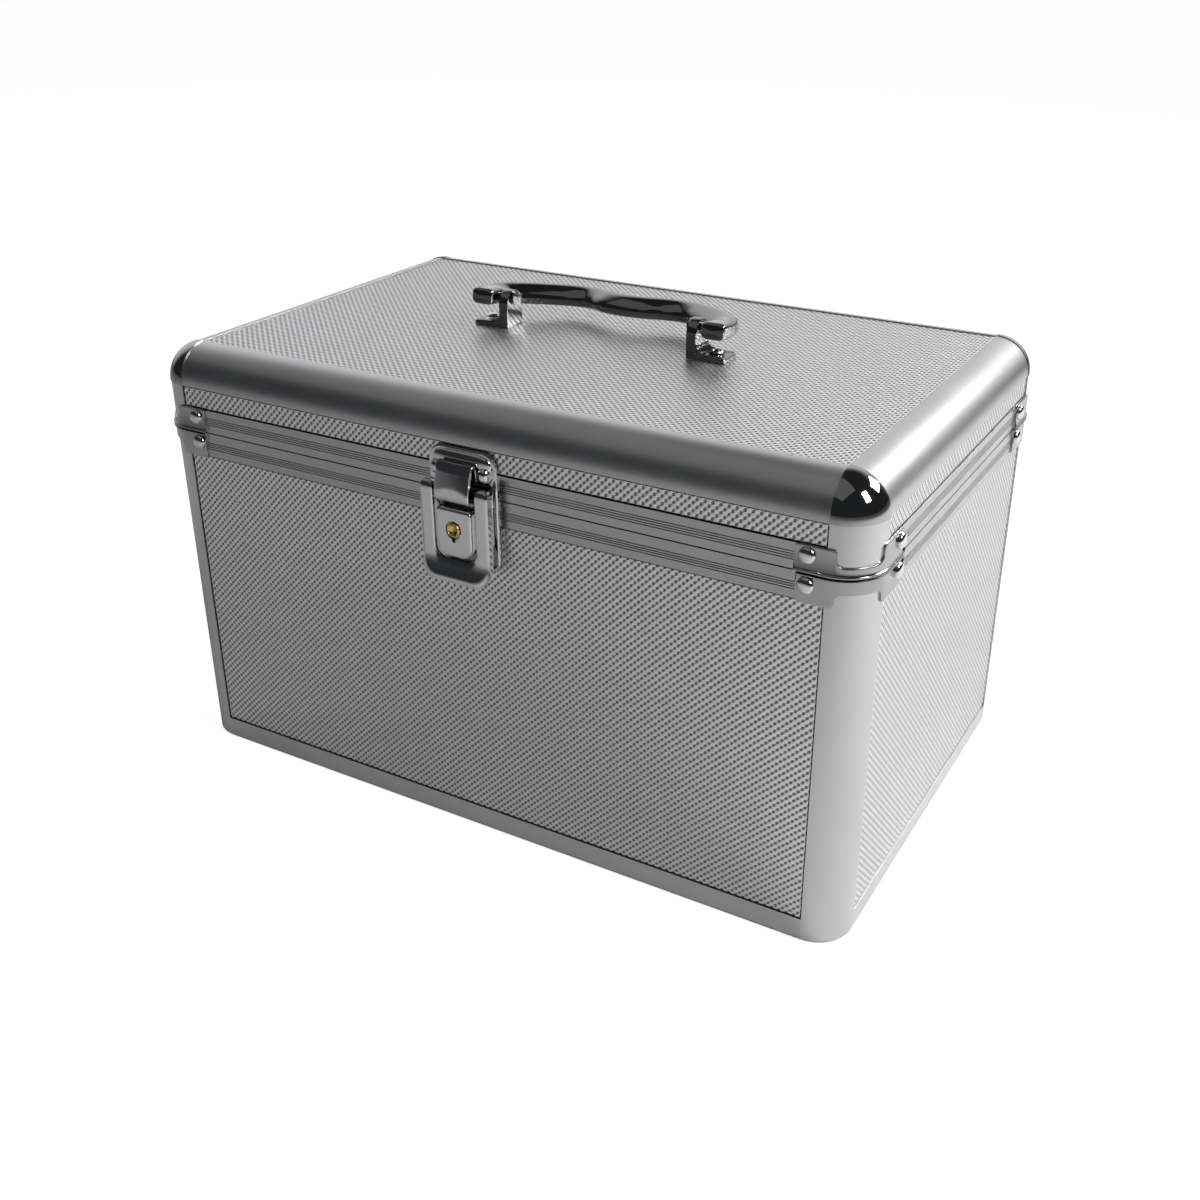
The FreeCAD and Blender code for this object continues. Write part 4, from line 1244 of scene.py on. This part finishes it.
# ---------------------------------------------------------------- handle grip
@dataclass
class HandleGrip:
    """Twin-hump grip: a soft section carried along the bar, boxier at the two ends."""

    outline: tuple[tuple[float, float], ...] = (
        (57.0, -7.0), (57.0, -3.6), (57.0, 0.0), (56.8, 4.0), (55.2, 10.0), (51.0, 16.0), (44.3, 21.6),
        (36.8, 26.3), (29.0, 29.9), (21.2, 31.2), (14.0, 29.6), (7.2, 26.4), (0.0, 25.2))
    wide: float = 10.0
    thick: float = 6.6
    place_y: float = -0.5
    above_panel: float = 11.4
    tilt: float = -7.0
    soft_power: float = 2.25
    lean: float = 38.0
    end_power: float = 4.5
    end_reach: tuple[float, float] = (7.0, 20.0)
    end_round: tuple[tuple[float, float], ...] = (
        (0.0, 1.5), (0.1, 1.05), (0.4, 0.5), (0.9, 0.15), (1.6, 0.0))

    def middle_line(self) -> tuple[Array, Array]:
        """Middle line of the bar, half its width inside the outline, with the unit way along it.

        The points are joined by cubic Hermite pieces whose slopes are the chords of the neighbours.

        Returns:
            Points and directions, both n x 2.
        """
        right = np.array(self.outline)
        outer = np.concatenate([right[:-1] * (-1.0, 1.0), right[::-1]])
        chord = np.gradient(outer, axis=0)
        chord /= np.linalg.norm(chord, axis=1, keepdims=True)
        knots = outer + np.stack([chord[:, 1], -chord[:, 0]], -1) * self.wide / 2.0
        step = np.linalg.norm(np.diff(knots, axis=0), axis=1)
        at = np.concatenate([[0.0], np.cumsum(step)])
        slope = np.gradient(knots, at, axis=0)
        slope[0], slope[-1] = (0.0, 1.0), (0.0, -1.0)
        wanted = np.linspace(0.0, at[-1], 181)
        cell = np.clip(np.searchsorted(at, wanted, "right") - 1, 0, len(step) - 1)
        t = ((wanted - at[cell]) / step[cell])[:, None]
        long = step[cell][:, None]
        points = ((2.0 * t ** 3 - 3.0 * t ** 2 + 1.0) * knots[cell]
                  + (t ** 3 - 2.0 * t ** 2 + t) * long * slope[cell]
                  + (3.0 * t ** 2 - 2.0 * t ** 3) * knots[cell + 1]
                  + (t ** 3 - t ** 2) * long * slope[cell + 1])
        way = np.gradient(points, axis=0)
        way[0], way[-1] = (0.0, 1.0), (0.0, -1.0)
        return points, way / np.linalg.norm(way, axis=1, keepdims=True)

    def build(self) -> None:
        """Carry the superellipse |x/a|^p + |z/b|^p = 1 along the line and round the two ends off."""
        points, way = self.middle_line()
        run = np.concatenate([[0.0], np.cumsum(np.linalg.norm(np.diff(points, axis=0), axis=1))])
        from_end = np.minimum(run, run[-1] - run)
        keep = from_end > self.end_round[0][1] + 0.4
        ends = np.array(self.end_round)
        rows = np.concatenate([ends[::-1, 1], run[keep], run[-1] - ends[:, 1]])
        inset = np.concatenate([ends[::-1, 0], np.zeros(int(keep.sum())), ends[:, 0]])[:, None]
        at = np.stack([np.interp(rows, run, points[:, i]) for i in range(2)], -1)
        ahead = np.stack([np.interp(rows, run, way[:, i]) for i in range(2)], -1)
        nearest = np.minimum(rows, run[-1] - rows)
        power = self.end_power + (self.soft_power - self.end_power) * smooth(*self.end_reach, nearest)
        turn = np.linspace(0.0, 2.0 * math.pi, 49)[:-1]
        cos, sin, share = np.cos(turn), np.sin(turn), 2.0 / power[:, None]
        side = (self.wide / 2.0 - inset) * np.sign(cos) * np.abs(cos) ** share
        up = (self.thick / 2.0 - inset) * np.sign(sin) * np.abs(sin) ** share
        lean = math.radians(self.lean) * smooth(*self.end_reach, nearest)[:, None]
        side, up = side * np.cos(lean) + up * np.sin(lean), up * np.cos(lean) - side * np.sin(lean)
        x = at[:, :1] + ahead[:, 1:] * side
        y = at[:, 1:] - ahead[:, :1] * side
        a = math.radians(self.tilt)
        top = low_high("lid_panel_top")[1][2]
        xyz = np.stack([x, y * math.cos(a) - up * math.sin(a) + self.place_y,
                        y * math.sin(a) + up * math.cos(a) + top + self.above_panel], -1)
        shell = Shell()
        index = shell.grid(xyz, wrap=True, flip=True)
        shell.cap(index[0])
        shell.cap(index[-1], flip=True)
        settle(shell.piece("handle_grip"), Finish.CHROME, "handle", "handle")


# ------------------------------------------------------------- handle brackets
@dataclass
class HandleBrackets:
    """Cast brackets on the lid: a round-topped upright and a foot with softened edges."""

    bevel: float = 0.45
    upright: float = 4.2
    foot: float = 2.6
    web: float = 3.6

    def slab(self, shell: Shell, outline: Array, span: tuple[float, float],
             place: Callable[[Array], Array], flip: bool) -> None:
        """Closed slab: an outline carried from one depth to another with rounded edges.

        Args:
            shell: mesh to add to.
            outline: n x 2 convex outline, anticlockwise.
            span: first and last depth.
            place: turns (a, b, depth) points into x, y, z.
            flip: turn the faces round.
        """
        middle = outline.mean(0)
        size = np.abs(outline - middle).max(0)
        b = self.bevel
        rings = []
        for inset, shift in ((b * 1.6, 0.0), (b, 0.0), (b * 0.3, b * 0.3), (0.0, b)):
            rings.append((inset, span[0] + shift))
        for inset, shift in ((0.0, b), (b * 0.3, b * 0.3), (b, 0.0), (b * 1.6, 0.0)):
            rings.append((inset, span[1] - shift))
        grid = np.stack([np.column_stack([middle + (outline - middle) * (1.0 - inset / size),
                                          np.full(len(outline), depth)]) for inset, depth in rings])
        index = shell.grid(place(grid), wrap=True, flip=flip)
        shell.cap(index[0], flip=not flip)
        shell.cap(index[-1], flip=flip)

    def bracket(self, node: str) -> Shell:
        """The right-hand bracket, filling its CAD node's box."""
        low, high = low_high(node)
        mid_y, half_y = (low[1] + high[1]) / 2.0, (high[1] - low[1]) / 2.0
        shell = Shell()
        turn = np.linspace(0.0, math.pi, 25)
        top = high[2] - half_y
        arch = np.stack([half_y * np.cos(turn), top + half_y * np.sin(turn)], -1)
        tombstone = np.concatenate([[(half_y, low[2])], arch, [(-half_y, low[2])]])
        self.slab(shell, tombstone, (low[0], low[0] + self.upright),
                  lambda p: np.stack([p[..., 2], mid_y + p[..., 0], p[..., 1]], -1), False)
        start = low[0] + self.upright - 0.8
        half = ((high[0] - start) / 2.0, half_y)
        foot = rounded_outline(half[0], half[1], (0.8, 0.8, 0.8, 0.8), 5)
        centre_x = (start + high[0]) / 2.0

        def on_foot(p: Array) -> Array:
            """Foot plate whose outer end slopes down."""
            x = centre_x + p[..., 0]
            drop = 1.2 * smooth(high[0] - 2.4, high[0], x) * (p[..., 2] > low[2] + 1.0)
            return np.stack([x, mid_y + p[..., 1], p[..., 2] - drop], -1)

        self.slab(shell, foot, (low[2], low[2] + self.foot), on_foot, False)
        x0, z0, r = low[0] + self.upright - 0.2, low[2] + self.foot - 0.1, self.web
        bend = np.linspace(math.pi, 1.5 * math.pi, 9)
        web = np.concatenate([np.stack([x0 + r + r * np.cos(bend), z0 + r + r * np.sin(bend)], -1),
                              [(x0 + r, z0 - 0.3), (x0 - 0.3, z0 - 0.3), (x0 - 0.3, z0 + r)]])
        sections = np.stack([web] * 2)
        wide = np.array([mid_y - half_y + 0.5, mid_y + half_y - 0.5])
        xyz = np.stack([sections[..., 0], np.broadcast_to(wide[:, None], sections.shape[:2]),
                        sections[..., 1]], -1)
        index = shell.grid(xyz, wrap=True)
        shell.cap(index[0], centre=np.array([x0 + 0.4, wide[0], z0 + 0.4]), flip=True)
        shell.cap(index[-1], centre=np.array([x0 + 0.4, wide[1], z0 + 0.4]))
        return shell

    def build(self) -> None:
        """Make both brackets."""
        right = self.bracket("handle_bracket_right")
        settle(right.piece("handle_bracket_casting_right"), Finish.CHROME, "lid", "handle_bracket_right")
        settle(right.mirrored((0,)).piece("handle_bracket_casting_left"), Finish.CHROME, "lid",
               "handle_bracket_left")


# --------------------------------------------------------- padded inner linings
@dataclass
class PaddedLiner:
    """Foam liner in cloth with one open side: crowned walls between corner seams, a tufted floor."""

    name: str
    body: str
    node: str
    open_z: float
    way: float
    corner_r: float = 10.4
    pad: float = 3.5
    seam_dip: float = 0.9
    tuft: float = 34.0
    outer_bevel: float = 0.0
    floor_pad: float = 2.0

    def build(self) -> None:
        """Make the liner: rings of the rounded outline follow the wall's section from outside to inside."""
        low, high = low_high(self.node)
        half = np.array([(high[0] - low[0]) / 2.0, (high[1] - low[1]) / 2.0])
        deep = high[2] - low[2]
        outline = rounded_outline(half[0], half[1], (self.corner_r,) * 4, 10, 4.0)
        length = np.concatenate([[0.0], np.cumsum(np.linalg.norm(
            np.roll(outline, -1, 0) - outline, axis=1))])
        roll = self.pad / 2.0
        turn = np.linspace(0.0, math.pi, 9)
        bevel = self.outer_bevel
        outside = [(half[1] - 0.6, deep), (half[1] * 0.5, deep), (bevel + 0.5, deep),
                   (bevel * 0.5, deep - bevel * 0.5), (0.0, deep - bevel - 0.5), (0.0, deep * 0.5)]
        lip = [(roll - roll * math.cos(a), roll - roll * math.sin(a)) for a in turn]
        floor = deep - self.floor_pad
        wall = [(self.pad, h) for h in np.linspace(roll + 1.5, floor - 4.0, max(4, int(floor / 4.0)))]
        fillet = [(self.pad + 4.0 - 4.0 * math.cos(a), floor - 4.0 + 4.0 * math.sin(a))
                  for a in np.linspace(0.0, math.pi / 2.0, 7)[1:]]
        inner = [(d, floor) for d in np.linspace(self.pad + 6.0, half[1] - 0.6, 30)]
        rows = np.array(outside + lip + wall + fillet + inner)
        start = len(outside) + len(lip)
        inset, depth = rows[:, 0], rows[:, 1]
        radius = np.maximum(self.corner_r - inset, 0.4)
        corner = np.sign(outline) * np.maximum(np.abs(outline) - (half - self.corner_r), 0.0) / self.corner_r
        straight = outline - corner * self.corner_r
        core = (half[None, :] - inset[:, None] - radius[:, None])[:, None, :]
        flat = straight / np.maximum(half - self.corner_r, 1e-6)
        ring = flat[None] * core + corner[None] * radius[:, None, None]
        is_wall = np.zeros(len(rows))
        is_wall[start:start + len(wall)] = 1.0
        up = np.clip((depth - roll) / (floor - 4.0 - roll), 0.0, 1.0)
        along = np.abs(flat)
        on_side = np.where(along[:, 0] > 0.999, along[:, 1], along[:, 0])
        middle = np.where(np.abs(corner).max(1) > 0.02, 1.0, on_side)
        crown = (1.0 - middle[None, :] ** 8) * (1.0 - np.abs(2.0 * up - 1.0) ** 8)[:, None]
        dip = self.seam_dip * (1.0 - crown) * is_wall[:, None]
        outward = corner + np.where(np.abs(corner).max(1, keepdims=True) > 0, 0.0,
                                    np.where(along > 0.999, np.sign(flat), 0.0))
        ring = ring + outward[None] * dip[..., None]
        on_floor = np.zeros(len(rows))
        on_floor[start + len(wall) + len(fillet):] = 1.0
        waves = np.cos(math.pi * ring / self.tuft)
        tufts = np.abs(waves[..., 0] * waves[..., 1])
        sink = 0.9 * (1.0 - tufts ** 0.45) * on_floor[:, None]
        height = self.open_z + self.way * (depth[:, None] + sink)
        centre = (low[:2] + high[:2]) / 2.0
        xyz = np.concatenate([ring + centre, height[..., None]], -1)
        run = np.concatenate([[0.0], np.cumsum(np.linalg.norm(np.diff(rows, axis=0), axis=1))])
        uv = np.stack(np.broadcast_arrays(length[None, :], run[:, None]), -1)
        shell = Shell()
        index = shell.grid(xyz, wrap=True, uv=uv, flip=self.way > 0)
        shell.cap(index[-1], flip=self.way > 0)
        shell.cap(index[0], flip=self.way < 0)
        piece = settle(shell.piece(self.name), Finish.CLOTH, self.body, self.node)


# ------------------------------------------------------------------------ trays
@dataclass
class Tray:
    """Moulded tray with a rolled rim, drafted walls and a soft inner floor edge."""

    name: str
    node: str
    wall: float = 2.0
    corner_r: float = 4.0

    def build(self) -> None:
        """Make the tray as rings of its outline, from under the floor over the rim to the inside."""
        low, high = low_high(self.node)
        half = np.array([(high[0] - low[0]) / 2.0, (high[1] - low[1]) / 2.0])
        z0, z1, w = low[2], high[2], self.wall
        rows = [(half[1] - 1.0, z0 + 0.4), (6.0, z0 + 0.4), (5.0, z0), (2.6, z0), (1.2, z0 + 0.25),
                (0.35, z0 + 1.0), (0.05, z0 + 2.4), (0.0, z0 + 4.0), (0.0, z1 - 3.0), (0.0, z1 - 0.8),
                (0.18, z1 - 0.3), (0.6, z1 - 0.04), (1.1, z1), (w - 0.3, z1 - 0.04), (w + 0.25, z1 - 0.3),
                (w + 0.4, z1 - 0.8), (w + 0.3, z1 - 1.6), (w, z1 - 2.4), (w, z0 + w + 3.0),
                (w + 0.4, z0 + w + 1.4), (w + 1.3, z0 + w + 0.4), (w + 2.8, z0 + w), (half[1] - 1.0, z0 + w)]
        rings = inset_rings((half[0], half[1]), (self.corner_r,) * 4, rows, 8)
        centre = (low[:2] + high[:2]) / 2.0
        rings[..., :2] += centre
        shell = Shell()
        index = shell.grid(rings, wrap=True)
        shell.cap(index[-1])
        shell.cap(index[0], flip=True)
        settle(shell.piece(self.name), Finish.PLASTIC, self.node, self.node)


# ------------------------------------------------------------- carried-over CAD
CARRIED: dict[str, Finish] = {
    "base_rim_front": Finish.RIM_X, "base_rim_back": Finish.RIM_X,
    "base_rim_left": Finish.RIM_Y, "base_rim_right": Finish.RIM_Y,
    "lid_rim_front": Finish.RIM_X, "lid_rim_back": Finish.RIM_X,
    "lid_rim_left": Finish.RIM_Y, "lid_rim_right": Finish.RIM_Y,
    "lid_edge_front": Finish.RAIL_X, "lid_edge_back": Finish.RAIL_X,
    "lid_edge_left": Finish.RAIL_Y, "lid_edge_right": Finish.RAIL_Y,
    "base_post_front_right": Finish.POST, "base_post_front_left": Finish.POST,
    "base_post_back_right": Finish.POST, "base_post_back_left": Finish.POST,
    "lid_posts": Finish.POST, "base_sills": Finish.RAIL_X, "base_corner_caps": Finish.POST,
    "base_panel_bottom": Finish.BOARD, "base_link_pins": Finish.ZINC,
    "hinge_leaves_base": Finish.NICKEL, "hinge_leaves_lid": Finish.NICKEL, "hinge_pins": Finish.ZINC,
    "lever_pin": Finish.LATCH, "claw_pin": Finish.LATCH, "lid_strut_pins": Finish.ZINC,
    "handle_pins": Finish.CHROME, "rear_links": Finish.ZINC,
    "front_links": Finish.ZINC, "lid_struts": Finish.ZINC, "upper_tray_pins": Finish.ZINC,
    "lower_tray_pins": Finish.ZINC, "upper_tray_dividers": Finish.PLASTIC,
    "lower_tray_dividers": Finish.PLASTIC,
}


def dress_carried() -> None:
    """Give every CAD node that stays in view its finish."""
    for node, finish in CARRIED.items():
        dress(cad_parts[node], finish)
        log.info("%s: %s", node, finish.name)


# ----------------------------------------------------------------------- studio
@dataclass(frozen=True)
class SoftLight:
    """Rectangular area light that shines on the case from a compass direction and a height angle."""

    name: str
    azimuth: float
    elevation: float
    distance: float
    width: float
    height: float
    power: float

    def build(self) -> None:
        """Put the light in the scene; azimuth 0 is in front and 90 on the right."""
        a, e = math.radians(self.azimuth), math.radians(self.elevation)
        way = Vector((math.sin(a) * math.cos(e), -math.cos(a) * math.cos(e), math.sin(e)))
        lamp = bpy.data.lights.new(self.name, "AREA")
        lamp.shape = "RECTANGLE"
        lamp.size, lamp.size_y, lamp.energy = self.width, self.height, self.power
        thing = bpy.data.objects.new(self.name, lamp)
        thing.rotation_euler = way.to_track_quat("Z", "Y").to_euler()
        thing.location = Vector((0.0, 0.0, 0.1)) + way * self.distance
        bpy.context.scene.collection.objects.link(thing)


@dataclass
class Studio:
    """Pale floor, soft lights, dim room and the camera."""

    camera_place: tuple[float, float, float] = (0.2705, -0.4618, 0.3348)
    azimuth: float = 29.95
    elevation: float = 26.1
    roll: float = -0.16
    lens: float = 41.54
    shift: tuple[float, float] = (-0.00964, -0.02164)
    floor_half: float = 12.0
    floor_glow: float = 0.84
    bright_way: tuple[float, float, float] = (-0.48, 0.84, 0.25)
    dim_colour: tuple[float, float, float, float] = (0.026, 0.028, 0.030, 1.0)
    bright_colour: tuple[float, float, float, float] = (0.86, 0.86, 0.88, 1.0)

    def build_camera(self) -> None:
        """Place the camera, looking down at the case from the front right."""
        a, e = math.radians(self.azimuth), math.radians(self.elevation)
        ahead = Vector((-math.sin(a) * math.cos(e), math.cos(a) * math.cos(e), -math.sin(e)))
        data = bpy.data.cameras.new("camera")
        data.lens, data.sensor_width = self.lens, 36.0
        data.shift_x, data.shift_y = self.shift
        data.clip_start, data.clip_end = 0.01, 50.0
        thing = bpy.data.objects.new("camera", data)
        roll = Matrix.Rotation(math.radians(self.roll), 3, "Z").to_quaternion()
        thing.rotation_euler = (ahead.to_track_quat("-Z", "Y") @ roll).to_euler()
        thing.location = self.camera_place
        bpy.context.scene.collection.objects.link(thing)
        bpy.context.scene.camera = thing

    def build_floor(self) -> None:
        """Wide pale floor; what is seen of it directly glows a little, so that it stays pale to its edge."""
        shell = Shell()
        half = self.floor_half / MM
        line = np.linspace(-half, half, 9)
        x, y = np.meshgrid(line, line)
        shell.grid(np.stack([x, y, np.full_like(x, -0.05)], -1))
        floor = shell.piece("studio_floor")
        g = Graph("pale_floor")
        glow = g.math("MULTIPLY", g.node("LightPath").outputs["Is Camera Ray"], self.floor_glow)
        g.surface({"Base Color": (0.80, 0.80, 0.81, 1.0), "Roughness": 0.85, "Specular IOR Level": 0.1,
                   "Emission Color": (1.0, 1.0, 1.0, 1.0), "Emission Strength": glow})
        floor.data.materials.append(g.material)

    def build_room(self) -> None:
        """Room light: bright behind the case, dim in front and overhead; pale where the camera sees it."""
        world = bpy.data.worlds.new("room")
        bpy.context.scene.world = world
        world.use_nodes = True
        tree = world.node_tree
        tree.nodes.clear()
        add, link = tree.nodes.new, tree.links.new
        place = add("ShaderNodeTexCoord")
        dot = add("ShaderNodeVectorMath")
        dot.operation = "DOT_PRODUCT"
        dot.inputs[1].default_value = self.bright_way
        link(place.outputs["Generated"], dot.inputs[0])
        axes = add("ShaderNodeSeparateXYZ")
        link(place.outputs["Generated"], axes.inputs[0])
        behind, below, both = add("ShaderNodeMapRange"), add("ShaderNodeMapRange"), add("ShaderNodeMath")
        for part, source, ends in ((behind, dot.outputs["Value"], (0.40, 0.84)),
                                   (below, axes.outputs["Z"], (0.84, 0.56))):
            part.interpolation_type = "SMOOTHSTEP"
            part.inputs["From Min"].default_value, part.inputs["From Max"].default_value = ends
            link(source, part.inputs["Value"])
        both.operation = "MULTIPLY"
        link(behind.outputs["Result"], both.inputs[0])
        link(below.outputs["Result"], both.inputs[1])
        ramp = add("ShaderNodeValToRGB")
        ramp.color_ramp.elements[0].color = self.dim_colour
        ramp.color_ramp.elements[1].color = self.bright_colour
        link(both.outputs[0], ramp.inputs[0])
        seen, pale, mix = add("ShaderNodeLightPath"), add("ShaderNodeBackground"), add("ShaderNodeMixShader")
        dim, out = add("ShaderNodeBackground"), add("ShaderNodeOutputWorld")
        pale.inputs[0].default_value = (1.0, 1.0, 1.0, 1.0)
        link(ramp.outputs[0], dim.inputs[0])
        link(seen.outputs["Is Camera Ray"], mix.inputs[0])
        link(dim.outputs[0], mix.inputs[1])
        link(pale.outputs[0], mix.inputs[2])
        link(mix.outputs[0], out.inputs[0])

    def build(self) -> None:
        """Set up the whole studio."""
        self.build_camera()
        self.build_floor()
        self.build_room()
        for light in (SoftLight("window_behind", 131.0, 37.0, 1.15, 0.50, 0.36, 10.0),
                      SoftLight("window_right", 79.0, 38.0, 1.15, 0.24, 0.42, 5.5),
                      SoftLight("ceiling", -30.0, 66.0, 1.6, 2.0, 1.3, 1.3)):
            light.build()
        bpy.context.scene.view_settings.view_transform = "Standard"


def main() -> None:
    """Build the case's pieces in order, dress the CAD nodes and set up the studio."""
    size = CaseSize.measured()
    EmbossedPanels(size).build()
    CornerFittings(size).build()
    BallCorners(size).build()
    Rivets(size).build()
    Latch(size).build()
    HandleGrip().build()
    HandleBrackets().build()
    base_high, lid_low = low_high("base_lining")[1], low_high("lid_lining")[0]
    PaddedLiner("base_liner", "base", "base_lining", float(base_high[2]), -1.0).build()
    PaddedLiner("lid_liner", "lid", "lid_lining", float(lid_low[2]), 1.0,
                outer_bevel=6.0, floor_pad=3.5).build()
    Tray("upper_tray_moulding", "upper_tray").build()
    Tray("lower_tray_moulding", "lower_tray").build()
    dress_carried()
    Studio().build()


if __name__ == "__main__":
    logging.basicConfig(level=logging.INFO, format="%(message)s")
    main()
